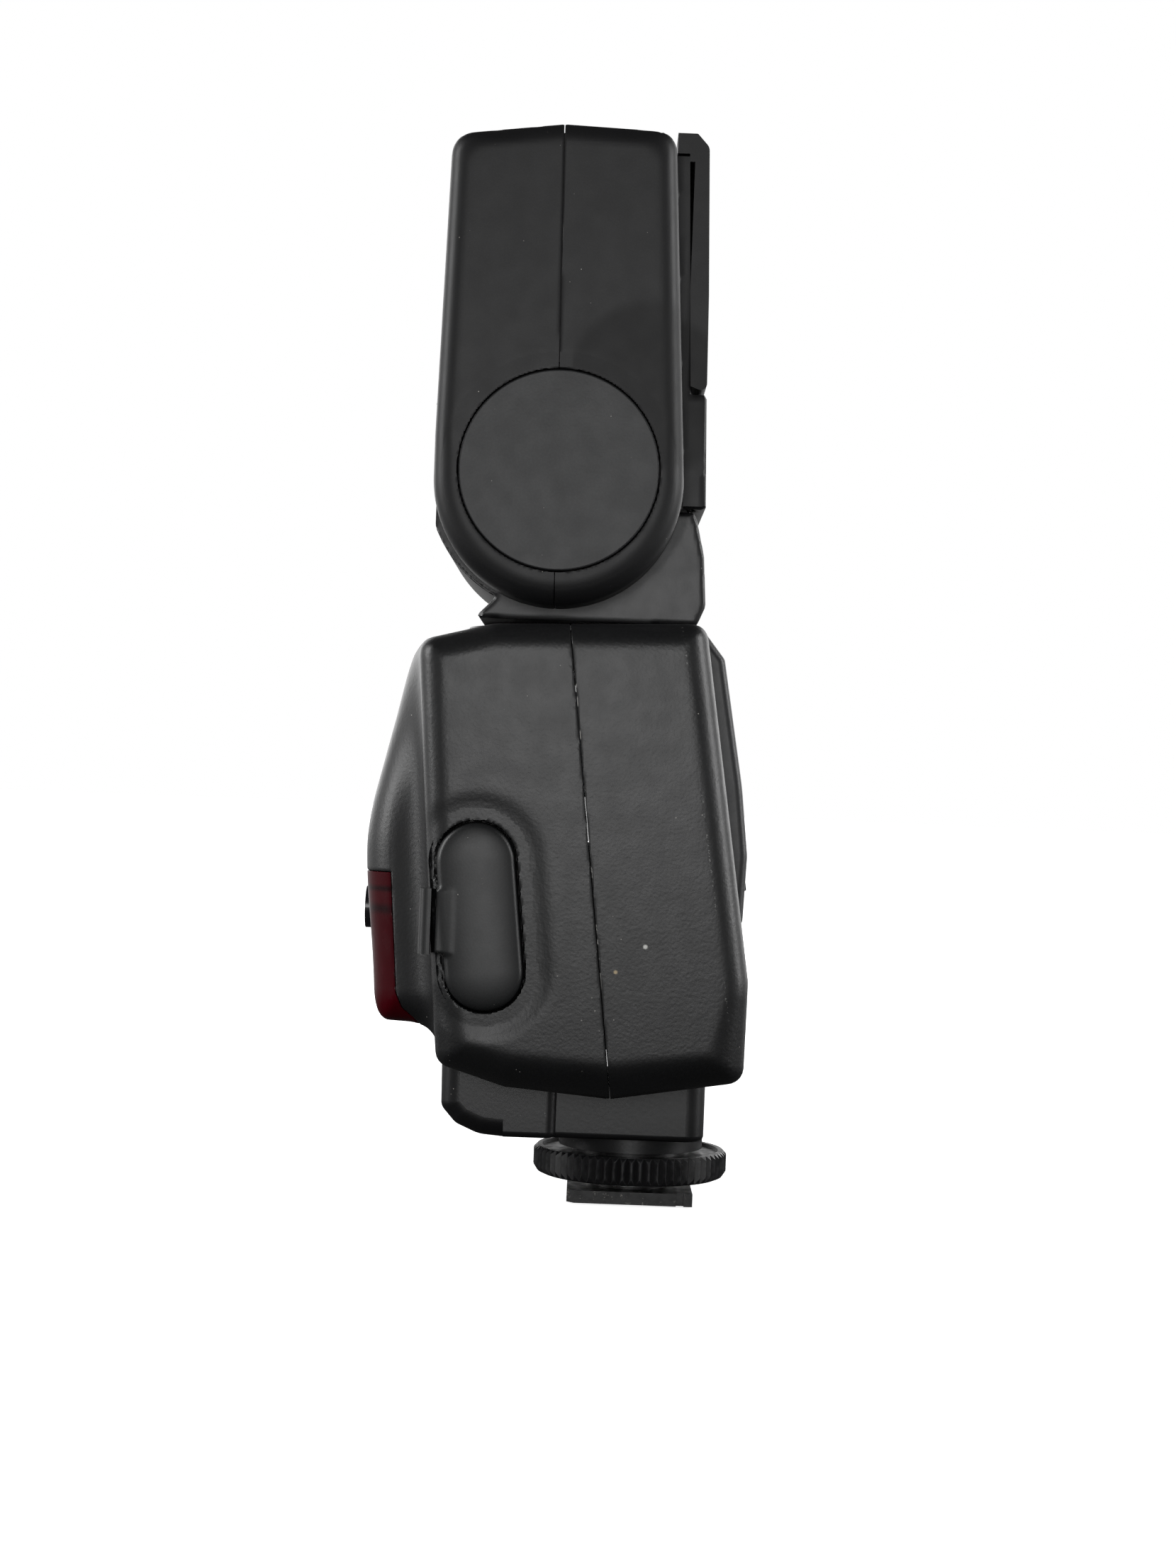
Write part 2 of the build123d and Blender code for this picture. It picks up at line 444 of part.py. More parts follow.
def head_parts():
    """The head's half shells, pivot covers, lens and the cover of the card pocket."""
    shell = head_outer - head_inner
    ring = rod_x(PIVOT_Y, PIVOT_Z, DISC_R + 0.25, HEAD_HALF - DISC_THICK, 50)
    shell = shell - both_sides(ring)
    lane = rod_x(PIVOT_Y, PIVOT_Z, CRADLE_R + 0.1, EAR_IN - EAR_GAP, EAR_OUT + EAR_GAP)
    shell = shell - both_sides(lane)
    boss = rod_x(PIVOT_Y, PIVOT_Z, 7.5, EAR_OUT + EAR_GAP, HEAD_HALF - DISC_THICK - 0.2)
    shell = shell + both_sides(boss) - both_sides(rod_x(PIVOT_Y, PIVOT_Z, PIN_R, 10, PIN_END))
    room = CARD_HALF + 0.4
    shell = shell - block(-room, room, CARD_COVER_Y - 2.4, CARD_COVER_Y, CARD_Z0 - 0.6, 180)
    pin = rod_x(PIVOT_Y, PIVOT_Z, PIN_R, 18.6, PIN_END)
    pins = both_sides(pin + rod_x(PIVOT_Y, PIVOT_Z, 5.6, 18.6, EAR_IN - 0.3))
    shell = shell - rod_x(PIVOT_Y, PIVOT_Z, BUTTON_R + 0.3, -40, -PIN_END)
    disc = rod_x(PIVOT_Y, PIVOT_Z, DISC_R, HEAD_HALF - DISC_THICK, HEAD_HALF)
    disc = fillet(disc.faces().sort_by(Axis.X)[-1].edges(), 0.3)
    right = mirror(disc, about=Plane.YZ)
    cover_face = side_face([(CARD_COVER_Y, CARD_COVER_Z0 + 1.1), (6.75, CARD_COVER_Z0 + 0.1),
                            (6.5, 141.5), (5.75, 164.2), (3.9, CARD_COVER_TOP),
                            (0.9, CARD_COVER_TOP), (0.9, RIDGE_TOP + 0.1),
                            (CARD_COVER_TOP_Y, RIDGE_TOP + 0.1)], [0, 1.0, 30, 1.5, 0.4, 0, 0, 0])
    cover = across(cover_face, RIDGE_HALF)
    cover = cover - block(-room, room, 1.4, CARD_COVER_Y + 0.9, CARD_Z0 - 0.6, 180)
    notch = block(-7, 7, 3.0, 9, 160.4, 168)
    cover = cover - notch
    lens = block(-32.6, 32.6, -30.4, -2.2, LENS_Z0, LENS_Z1 - 0.6)
    for i in range(9):
        y = -28.6 + 3.1 * i
        lens = lens - block(-31, 31, y, y + 0.9, LENS_Z1 - 1.1, LENS_Z1)
    return shell, joined(pins.solids()), disc, right, cover, lens


def cards():
    wide = block(-CARD_HALF, CARD_HALF, 2.1, 3.1, CARD_Z0, CARD_Z1)
    wide = wide + block(-5, 5, 2.1, 3.1, CARD_Z1, CARD_Z1 + 0.6)
    white = block(-CARD_HALF, CARD_HALF, 3.5, 4.5, CARD_Z0, CARD_Z1)
    white = white + block(-5, 5, 3.5, 4.5, CARD_Z1, CARD_Z1 + 0.6)
    return white, wide


def zoom_parts():
    """The flash tube in its reflector, on a carriage driven by a lead screw."""
    trough = block(-25, 25, -28.6, -8.4, 139.0, 152.0)
    dish = Pos(0, -18.5, 154.5) * Rot(0, 90, 0) * Cylinder(12.6, 48.4)
    dish = dish & block(-40, 40, -27.8, -9.2, 130, 153)
    reflector = trough - dish
    tube = rod_x(-18.5, 145.5, 1.9, -24.0, 24.0)
    carriage = block(-27, 27, -28.0, -8.8, 136.6, 139.0) + block(-29, 29, -9.0, -3.4, 136.6, 139.0)
    carriage = carriage + rod_z(SCREW_X, SCREW_Y, 2.3, 136.6, 142.0)
    carriage = carriage - rod_z(SCREW_X, SCREW_Y, 1.26, 120, 160)
    rods = []
    for x in (-ROD_X, ROD_X):
        carriage = carriage - rod_z(x, SCREW_Y, 1.06, 120, 160)
        rods.append(rod_z(x, SCREW_Y, 1.0, 123.0, 159.8))
    screw = rod_z(SCREW_X, SCREW_Y, 1.2, 131.5, 158.0)
    motor = rod_z(SCREW_X, SCREW_Y, 4.0, 119.6, 130.0) + rod_z(SCREW_X, SCREW_Y, 2.0, 130.0, 131.3)
    board = block(-18, 18, -31.2, -29.9, 118, 134) + block(-12, -4, -29.9, -25.5, 121, 131)
    return reflector, tube, carriage, joined(rods), screw, motor, board


def release_button(disc):
    """The tilt release in the middle of the right pivot cover."""
    button = rod_x(PIVOT_Y, PIVOT_Z, BUTTON_R, -36.9, -34.5)
    button = fillet(button.faces().sort_by(Axis.X)[0].edges(), 0.5)
    return button, disc - rod_x(PIVOT_Y, PIVOT_Z, BUTTON_R + 0.3, -40, -30)


def screws(places, turn, length):
    """Cross-recessed screws: the shank runs along local +Z, away from the head's face."""
    head = rod_z(0, 0, SCREW_HEAD_R, 0, SCREW_HEAD_H)
    cross = block(-0.25, 0.25, -1.2, 1.2, -1, 0.5) + block(-1.2, 1.2, -0.25, 0.25, -1, 0.5)
    screw = head + rod_z(0, 0, SCREW_HEAD_R / 2, SCREW_HEAD_H, length) - cross
    return joined([Pos(*place) * turn * screw for place in places])


def screw_room(places, turn, boss_length):
    """The bosses the screws bite into, and the counterbores above their heads."""
    boss = rod_z(0, 0, SCREW_HEAD_R + 0.9, -0.8, boss_length)
    bosses = [Pos(*place) * turn * boss for place in places]
    sink = rod_z(0, 0, SCREW_HEAD_R + 0.15, -9, 0) + rod_z(0, 0, SCREW_HEAD_R, 0, SCREW_HEAD_H)
    bores = [Pos(*place) * turn * sink for place in places]
    return bosses, bores


# ---- build everything --------------------------------------------------------------------------
nodes = {}
nodes["shoe_foot"], nodes["foot_post"], contact_pins, lock_pin, washer = foot_parts()
nodes["contact_pins"], nodes["lock_pin"], nodes["clamp_washer"] = contact_pins, lock_pin, washer
nodes["lock_wheel"] = lock_wheel()
nodes["foot_block"], nodes["foot_front_cap"] = foot_block_parts()
nodes["battery_box"], nodes["aa_cells"], nodes["cell_springs"] = battery_parts()
door, door_pin, door_hole, door_latch, door_plates = battery_door()
nodes["battery_door"], nodes["door_hinge_pin"], nodes["door_latch"] = door, door_pin, door_latch
nodes["door_contacts"] = door_plates
flap, strap, terminal_hole, terminal_block = terminal_parts()
nodes["terminal_cover"], nodes["cover_strap"] = flap, strap
nodes["terminal_block"] = terminal_block
panel, glass, module, keys, power, key_board = panel_parts()
nodes["control_panel"], nodes["lcd_window"], nodes["lcd_module"] = panel, glass, module
nodes["power_switch"], nodes["key_board"] = power, key_board
nodes.update(keys)
body_shell, nodes["af_window"] = shell_parts()
nodes["slave_selector"], nodes["af_lamp"], nodes["slave_sensor"] = dial_and_lamp()
nodes["turret_shell"], nodes["swivel_retainer"], nodes["top_ring"] = turret_parts()
head_shell, nodes["tilt_pins"], left_disc, right_disc, card_cover, lens = head_parts()
nodes["pivot_cover_left"], nodes["card_cover"], nodes["fresnel_lens"] = left_disc, card_cover, lens
nodes["tilt_release_button"], nodes["pivot_cover_right"] = release_button(right_disc)
nodes["bounce_card"], nodes["wide_panel"] = cards()
zoom_names = ["reflector", "flash_tube", "zoom_carriage", "guide_rods", "lead_screw", "zoom_motor",
              "flash_board"]
nodes.update(zip(zoom_names, zoom_parts()))
nodes["main_capacitor"] = rod_x(-17.6, 71.6, 10.8, -26, 26)
nodes["main_board"] = block(-33, 33, 1.6, 3.2, 58.6, 82.5)

bosses, bores = screw_room(BODY_SCREWS, Rot(0, 0, 0), 5.4)
nodes["body_screws"] = screws(BODY_SCREWS, Rot(0, 0, 0), 5.0)
body_shell = body_shell + [b & body_outer for b in bosses] - bores - nodes["body_screws"]
body_shell = body_shell - door_hole - terminal_hole - nodes["cover_strap"] - nodes["door_hinge_pin"]
nodes["front_shell"], nodes["rear_shell"] = cut_by_seam(body_shell, SEAM_TOP, SEAM_BOTTOM)
into_head = Rot(90, 0, 0)
bosses, bores = screw_room(HEAD_SCREWS, into_head, 8.4)
nodes["head_screws"] = screws(HEAD_SCREWS, into_head, 8.0)
head_shell = head_shell + [b & head_outer for b in bosses] - bores - nodes["head_screws"]
nodes["head_front_shell"], nodes["head_rear_shell"] = cut_by_seam(
    head_shell, (HEAD_SEAM_TOP, HEAD_TOP_RIDGE), (HEAD_SEAM_LOW, 94.5))

os.makedirs("parts", exist_ok=True)
for name, shape in nodes.items():
    shape.label = name
    export_step(shape, f"parts/{name}.step")
print(len(nodes), "nodes written")
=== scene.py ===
"""Speedlight flash: detailed pieces, materials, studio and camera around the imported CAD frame."""
import json
import math

import bmesh
import bpy
import numpy as np
from mathutils import Matrix, Vector


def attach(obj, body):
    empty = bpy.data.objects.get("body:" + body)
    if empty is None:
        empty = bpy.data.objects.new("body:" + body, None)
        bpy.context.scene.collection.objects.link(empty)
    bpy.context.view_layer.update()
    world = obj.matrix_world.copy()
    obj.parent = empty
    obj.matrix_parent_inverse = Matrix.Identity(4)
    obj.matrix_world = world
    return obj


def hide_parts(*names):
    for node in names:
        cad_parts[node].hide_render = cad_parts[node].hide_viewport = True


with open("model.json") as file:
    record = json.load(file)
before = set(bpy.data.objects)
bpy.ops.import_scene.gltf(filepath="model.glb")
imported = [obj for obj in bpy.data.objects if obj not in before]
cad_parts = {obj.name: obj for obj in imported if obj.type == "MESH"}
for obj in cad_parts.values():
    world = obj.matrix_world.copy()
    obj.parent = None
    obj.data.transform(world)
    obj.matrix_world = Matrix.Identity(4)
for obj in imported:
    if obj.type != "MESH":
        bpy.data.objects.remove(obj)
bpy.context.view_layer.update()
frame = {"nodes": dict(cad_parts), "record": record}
MM = 0.001
PER_METRE = 1000.0

# ---- shape data, in millimetres: X to the terminal side, Y to the rear, Z up ----------------
BODY_HALF, BODY_CROWN = 39.0, 0.35
BODY_OUTLINE = [(-35.1, 87.0), (-24.0, 89.9), (7.7, 91.0), (15.9, 38.0), (15.9, 22.6),
                (-4.0, 19.3), (-20.0, 20.6), (-30.3, 23.8)]
BODY_SEAM = ((-12.7, 90.7), (-4.0, 19.6))
NOSE_OUTLINE = [(-34.2, 86.6), (-37.2, 83.6), (-40.2, 71.0), (-43.0, 59.5), (-42.9, 51.5), (-41.4, 39.0),
                (-40.7, 28.9), (-36.0, 28.8), (-20.0, 28.8), (-20.0, 86.0)]
NOSE_HALF = 25.2
WINDOW_TOP = 51.9
WINDOW_EDGE = [(-38.72, 51.9), (-37.25, 33.6), (-36.2, 31.2), (-34.4, 29.6), (-33.2, 28.0)]
WINDOW_BEHIND, WINDOW_LOW, WINDOW_HIGH, WINDOW_SIDE = -33.0, 28.2, 56.0, 30.0
FLAP_LOW, FLAP_HIGH, FLAP_R = (-23.4, 38.2), (-25.2, 54.4), 5.9
FLAP_GAP, FLAP_POCKET_X = 0.28, 34.0
FLAP_EDGE_X, FLAP_CROWN, FLAP_BACK_X, FLAP_WALL = 38.45, 1.22, 37.1, 1.7
RECESS_R, RECESS_RAMP, RECESS_DEPTH = 10.9, 2.9, 0.36
SEAT_REACH, SEAT_PROUD, SEAT_OVERLAP = 8.2, 0.004, 1.0
DOOR = (-22.0, 10.6, 25.6, 56.4)
PIVOT_Y, PIVOT_Z = -15.2, 113.0
DISC_SEAT_R, DISC_SEAT_X, DISC_RIM_IN, DISC_RIM_OUT, DISC_RIM_OVERLAP = 15.14, 34.2, 13.2, 17.6, 0.8
HEAD_TONGUE, HEAD_TONGUE_X = [(-15.6, 129.2), (-16.1, 158.0), (-16.3, 163.4)], 34.7
HEAD_SEAM = ((-16.3, 165.0), (-15.2, 94.5))
HEAD_HALF, HEAD_END_Z, HEAD_END_R = 36.0, 111.8, 18.75
HEAD_FRONT, HEAD_FRONT_TAPER, HEAD_REAR, HEAD_REAR_TAPER = -33.95, 0.95, 3.55, 2.95
HEAD_TOP, HEAD_PEAK_Y, HEAD_TOP_R = 165.0, -16.3, 3.4
RIDGE = (-26, -6, 109.0), (26, 4.2, 163.0)
HEEL_Z, HEEL_REAR, HEEL_HALF = (109.0, 126.5), 7.3, 26
LENS_OPENING = (-33.2, -31.2, 159.4), (33.2, -1.6, 180)
CARD_POCKET = (-22.6, 1.9, 130.6), (22.6, 20.0, 190.0)
BARREL_R, BARREL_HALF, BARREL_TOP = 20.4, 24.6, 124.0
EAR_X, EAR_HALF, EAR_R, EAR_LANE_R, EAR_LANE_HALF = 23.2, 1.0, 20.3, 20.95, 1.4
CRADLE_R, CRADLE_HALF, TURRET_HALF, TURRET_FOOT = 20.85, 22.3, 24.1, 91.35
BUTTON_HOLE_R = 6.9
GAP, BEVEL, RIM_DROP = 0.07, 0.22, 0.08
BODY_STEP, FINE_STEP, TURRET_STEP, FLAP_STEP = 0.75, 0.28, 0.6, 0.3
BODY_WALL, HEAD_WALL, SEAT_WALL, DISC_RIM_WALL = 1.5, 1.2, 0.9, 0.7
BODY_RANGE = (-40.0, -44.0, 18.4), (40.0, 17.6, 92.0)
SEAT_RANGE = (33.4, -34.2, 29.4), (39.6, -13.6, 63.2)
FLAP_RANGE = (36.9, -32.0, 31.5), (40.0, -15.8, 61.5)
HEAD_RANGE = (-36.6, -35.0, 91.0), (36.6, 8.0, 167.0)
TURRET_RANGE = (-24.6, -34.4, 90.8), (24.6, 8.4, 126.0)
FLAP_TONGUE = (37.3, -30.85, 40.7), (39.05, -28.3, 50.0)
TURRET_NECK = (22.2, -23.6, 91.4), (TURRET_HALF, 0.0, 100.0)
TURRET_OUTLINE = [(-27.0, TURRET_FOOT), (-26.9, 92.0), (-24.5, 94.45), (-24.0, 100.0), (0.0, 108.7),
                  (5.55, 108.7), (6.1, 107.5), (7.4, 102.0), (7.9, 94.4), (7.0, 92.2), (6.6, TURRET_FOOT)]
WINDOW_OUTLINE = [(-60.0, WINDOW_TOP)] + WINDOW_EDGE + [(-33.2, 20.0)]
EDGE_REACH = 0.8
SHARP = math.radians(35.0)


# ---- mesh tools --------------------------------------------------------------------------------
def polygon(y, z, points):
    """Signed distance to a closed outline, negative inside."""
    best = np.full(np.broadcast(y, z).shape, 1e9)
    sign = np.ones_like(best)
    for (ay, az), (by, bz) in zip(points, points[1:] + points[:1]):
        ey, ez = by - ay, bz - az
        wy, wz = y - ay, z - az
        t = np.clip((wy * ey + wz * ez) / (ey * ey + ez * ez), 0, 1)
        best = np.minimum(best, (wy - ey * t) ** 2 + (wz - ez * t) ** 2)
        above, below, left = z >= az, z < bz, ey * wz > ez * wy
        flip = (above & below & left) | (~above & ~below & ~left)
        sign = np.where(flip, -sign, sign)
    return sign * np.sqrt(best)


def inset(points, amount):
    """A convex outline moved inwards, so that rounding it by the same amount restores its sides."""
    area = sum(a[0] * b[1] - b[0] * a[1] for a, b in zip(points, points[1:] + points[:1]))
    turn = 1 if area > 0 else -1
    lines = []
    for a, b in zip(points, points[1:] + points[:1]):
        d = Vector((b[0] - a[0], b[1] - a[1])).normalized()
        n = Vector((-d.y, d.x)) * turn
        lines.append((Vector(a) + n * amount, d))
    moved = []
    for (p, d), (q, e) in zip([lines[-1]] + lines[:-1], lines):
        t = (q - p).cross(e) / d.cross(e)
        moved.append(tuple(p + d * t))
    return moved


def soft_corners(points, first, last, times=3):
    """An outline whose corners from first to last are cut again and again until they are curves."""
    run = points[first:last + 1]
    for _ in range(times):
        cut = [run[0]]
        for a, b in zip(run, run[1:]):
            cut.append((0.75 * a[0] + 0.25 * b[0], 0.75 * a[1] + 0.25 * b[1]))
            cut.append((0.25 * a[0] + 0.75 * b[0], 0.25 * a[1] + 0.75 * b[1]))
        run = cut + [run[-1]]
    return points[:first] + run + points[last + 1:]


def rounded(y, z, points, r):
    """Signed distance to a convex outline with round corners."""
    return polygon(y, z, inset(points, r)) - r


def slab(flat, side, r):
    """An outline distance and a side distance joined with a rim of radius r."""
    a, b = flat + r, side + r
    return np.minimum(np.maximum(a, b), 0) + np.hypot(np.maximum(a, 0), np.maximum(b, 0)) - r


def blend_min(a, b, k):
    """Union with a fillet of about k."""
    h = np.maximum(k - np.abs(a - b), 0) / k
    return np.minimum(a, b) - h * h * k / 4


def blend_max(a, b, k):
    """Intersection with a rounding of about k."""
    return -blend_min(-a, -b, k)


def box_field(p, low, high, r=0.0):
    """A box between two corners with rounded edges."""
    q = [np.abs(v - (l + h) / 2) - (h - l) / 2 + r for v, l, h in zip(p, low, high)]
    out = np.sqrt(sum(np.maximum(v, 0) ** 2 for v in q))
    return out + np.minimum(np.maximum(np.maximum(q[0], q[1]), q[2]), 0) - r


def capsule_2d(y, z, a, b, r):
    """Signed distance to a flat lozenge: all points within r of the line from a to b."""
    ey, ez = b[0] - a[0], b[1] - a[1]
    t = np.clip(((y - a[0]) * ey + (z - a[1]) * ez) / (ey * ey + ez * ez), 0, 1)
    return np.hypot(y - a[0] - ey * t, z - a[1] - ez * t) - r


def surface(field, low, high, step):
    """Surface nets: points and quads of field(x, y, z) = 0, with the points moved onto the surface."""
    axes = [np.arange(l, h + step, step) for l, h in zip(low, high)]
    value = field(*np.meshgrid(*axes, indexing="ij"))
    value = np.where(value == 0, 1e-9, value)
    inside = value < 0
    shape = np.array(inside.shape) - 1
    total = np.zeros(tuple(shape) + (3,))
    count = np.zeros(tuple(shape))
    crossings = []
    for axis in range(3):
        lo = [slice(None)] * 3
        hi = [slice(None)] * 3
        lo[axis], hi[axis] = slice(0, -1), slice(1, None)
        a, b = value[tuple(lo)], value[tuple(hi)]
        hit = np.argwhere(inside[tuple(lo)] != inside[tuple(hi)])
        va, vb = a[tuple(hit.T)], b[tuple(hit.T)]
        place = hit.astype(float)
        place[:, axis] += va / (va - vb)
        others = [i for i in range(3) if i != axis]
        for du in (0, 1):
            for dv in (0, 1):
                cell = hit.copy()
                cell[:, others[0]] -= du
                cell[:, others[1]] -= dv
                ok = np.all((cell >= 0) & (cell < shape), axis=1)
                index = tuple(cell[ok].T)
                np.add.at(total, index, place[ok])
                np.add.at(count, index, 1)
        crossings.append((axis, others, hit, va < 0))
    used = count > 0
    number = np.full(tuple(shape), -1)
    number[used] = np.arange(int(used.sum()))
    points = np.array(low) + total[used] / count[used][:, None] * step
    quads = []
    for axis, others, hit, leaving in crossings:
        ring = []
        for du, dv in ((0, 0), (1, 0), (1, 1), (0, 1)):
            cell = hit.copy()
            cell[:, others[0]] -= du
            cell[:, others[1]] -= dv
            ring.append(cell)
        ok = np.all([np.all((c >= 0) & (c < shape), axis=1) for c in ring], axis=0)
        quad = np.stack([number[tuple(c[ok].T)] for c in ring], axis=1)
        flip = leaving[ok] if axis != 1 else ~leaving[ok]
        quad[~flip] = quad[~flip][:, ::-1]
        quads.append(quad)
    for _ in range(4):
        d = field(*points.T)
        grad = np.empty_like(points)
        for axis in range(3):
            shift = np.zeros(3)
            shift[axis] = 0.03
            grad[:, axis] = (field(*(points + shift).T) - field(*(points - shift).T)) / 0.06
        size = np.maximum((grad ** 2).sum(axis=1), 0.25)
        move = grad * (d / size)[:, None]
        far = np.maximum(np.abs(move).max(axis=1) / (0.5 * step), 1)
        points = points - move / far[:, None]
    return points, np.vstack(quads)


def make_bmesh(points, faces):
    """A bmesh of the points and quads of surface()."""
    bm = bmesh.new()
    verts = [bm.verts.new(Vector(p)) for p in points]
    for face in faces:
        bm.faces.new([verts[i] for i in face])
    bm.normal_update()
    return bm


def to_object(bm, name, body, material, smooth=True):
    """A piece from a bmesh in millimetres, riding on a body."""
    bmesh.ops.scale(bm, vec=(MM, MM, MM), verts=bm.verts)
    mesh = bpy.data.meshes.new(name)
    bm.to_mesh(mesh)
    bm.free()
    obj = bpy.data.objects.new(name, mesh)
    bpy.context.scene.collection.objects.link(obj)
    if smooth:
        mesh.polygons.foreach_set("use_smooth", [True] * len(mesh.polygons))
        mesh.set_sharp_from_angle(angle=SHARP)
    mesh.materials.append(material)
    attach(obj, body)
    return obj


def plane_through(a, b):
    """Point and normal of the plane across X through two (Y, Z) points; the normal leans to +Y."""
    d = Vector((0, b[0] - a[0], b[1] - a[1])).normalized()
    n = Vector((0, d.z, -d.y))
    return Vector((0, a[0], a[1])), n if n.y > 0 else -n


def slice_mesh(bm, point, normal):
    """Slices every face along a plane, taking nothing away."""
    everything = bm.verts[:] + bm.edges[:] + bm.faces[:]
    bmesh.ops.bisect_plane(bm, geom=everything, dist=1e-5, plane_co=point, plane_no=normal)


def keep_faces(bm, test):
    """Deletes the faces whose centres fail the test."""
    doomed = [f for f in bm.faces if not test(f.calc_center_median())]
    bmesh.ops.delete(bm, geom=doomed, context="FACES")


# ---- fields ------------------------------------------------------------------------------------
NOSE_CURVE = soft_corners(NOSE_OUTLINE, 0, 7)


def body_field(x, y, z):
    """Body with its nose blended on, and the rubber cover's recess and pocket, as one closed form."""
    half = BODY_HALF - BODY_CROWN * ((z - 57) / 34) ** 2
    near = np.clip((RECESS_R - capsule_2d(y, z, FLAP_LOW, FLAP_HIGH, 0.0)) / RECESS_RAMP, 0, 1)
    half = half - RECESS_DEPTH * near * near * (3 - 2 * near) * (x > 0)
    rim = 4.0 + 3.2 * np.clip((36 - z) / 14, 0, 1)
    core = slab(rounded(y, z, BODY_OUTLINE, 2.6), np.abs(x) - half, rim)
    side = np.abs(x) - (NOSE_HALF + 0.28 * (y + 38.0))
    nose = slab(polygon(y, z, NOSE_CURVE), side, 5.5)
    whole = blend_min(core, nose, 5.0)
    outline = capsule_2d(y, z, FLAP_LOW, FLAP_HIGH, FLAP_R + FLAP_GAP)
    pocket = slab(outline, FLAP_POCKET_X - x, 0.1)
    return np.maximum(whole, -pocket)


def head_field(x, y, z):
    """Head with cheeks, barrel, rear ridge and heel, lens opening, disc seats, ear slots, card pocket."""
    front = HEAD_FRONT + HEAD_FRONT_TAPER * np.clip((z - 118) / 45, 0, 1)
    rear = HEAD_REAR - HEAD_REAR_TAPER * np.clip((z - 112) / 51, 0, 1)
    mid, half = (front + rear) / 2, (rear - front) / 2
    upper = np.abs(y - mid) - half
    end = np.hypot(y - PIVOT_Y, z - HEAD_END_Z) - HEAD_END_R
    flat = np.where(z > HEAD_END_Z, upper, end)
    fall = np.where(y < HEAD_PEAK_Y, (HEAD_PEAK_Y - y) * 0.125, (y - HEAD_PEAK_Y) * 0.035)
    flat = blend_max(flat, z - (HEAD_TOP - fall), HEAD_TOP_R)
    rim = 2.9 + 1.0 * np.clip((118 - z) / 20, 0, 1)
    core = slab(flat, np.abs(x) - HEAD_HALF, rim)
    radial = np.hypot(y - PIVOT_Y, z - PIVOT_Z)
    barrel = slab(np.maximum(radial - BARREL_R, HEAD_FRONT - y), np.abs(x) - BARREL_HALF, 0.25)
    barrel = np.maximum(barrel, z - BARREL_TOP)
    ridge = box_field((x, y, z), *RIDGE, 0.5)
    heel_rear = HEEL_REAR - 0.55 * np.clip((z - 109) / 17.6, 0, 1)
    heel_flat = np.maximum(np.maximum(y - heel_rear, -2 - y), np.maximum(HEEL_Z[0] - z, z - HEEL_Z[1]))
    heel = slab(heel_flat, np.abs(x) - HEEL_HALF, 0.7)
    whole = np.minimum(np.minimum(core, barrel), np.minimum(ridge, heel))
    whole = np.maximum(whole, -box_field((x, y, z), *LENS_OPENING, 0.8))
    seat = np.maximum(radial - DISC_SEAT_R, DISC_SEAT_X - np.abs(x))
    whole = np.maximum(whole, -seat)
    ear = np.maximum(radial - EAR_LANE_R, np.abs(np.abs(x) - EAR_X) - EAR_LANE_HALF)
    whole = np.maximum(whole, -ear)
    return np.maximum(whole, -box_field((x, y, z), *CARD_POCKET, 0.1))


def flap_field(x, y, z):
    """Rubber cover: a crowned lozenge, hollow behind, with a tongue towards its strap."""
    flat = capsule_2d(y, z, FLAP_LOW, FLAP_HIGH, FLAP_R)
    side = np.clip(1 + flat / FLAP_R, 0, 1)
    crown = FLAP_EDGE_X + FLAP_CROWN * np.sqrt(np.maximum(1 - side ** 2, 0.0))
    top = (x - crown) * 0.8
    shape = blend_max(flat, top, 0.9)
    shape = np.maximum(shape, FLAP_BACK_X - x)
    shape = blend_min(shape, box_field((x, y, z), *FLAP_TONGUE, 0.3), 0.8)
    hollow = slab(capsule_2d(y, z, FLAP_LOW, FLAP_HIGH, FLAP_R - FLAP_WALL), x - 38.0, 0.1)
    return np.maximum(shape, -hollow)


def turret_field(x, y, z):
    """Saddle with its concave cradle and rear wedge, and the two ears on their necks."""
    solid = slab(polygon(y, z, TURRET_OUTLINE), np.abs(x) - TURRET_HALF, 0.7)
    radial = np.hypot(y - PIVOT_Y, z - PIVOT_Z)
    cradle = np.where(np.abs(x) > CRADLE_HALF, -9.0, CRADLE_R - radial)
    saddle = blend_max(solid, cradle, 0.5)
    dy, dz = y - PIVOT_Y, z - PIVOT_Z
    below = np.minimum(0.438 * dy + 0.899 * dz, 0.242 * dy + 0.970 * dz)
    ears = slab(np.maximum(radial - EAR_R, HEAD_FRONT - y), np.abs(np.abs(x) - EAR_X) - EAR_HALF, 0.2)
    neck = box_field((np.abs(x), y, z), *TURRET_NECK, 0.2)
    return np.minimum(saddle, np.minimum(np.maximum(ears, below), neck))


# ---- materials ---------------------------------------------------------------------------------
DUST = (0.42, 0.40, 0.37)
# the marks on the body's sides include the painted glints on its rear edge crease and its seam
SIDE_FACE = (0.0362, 0.0376)        # how far out, in metres, the marks on the body's sides fade in


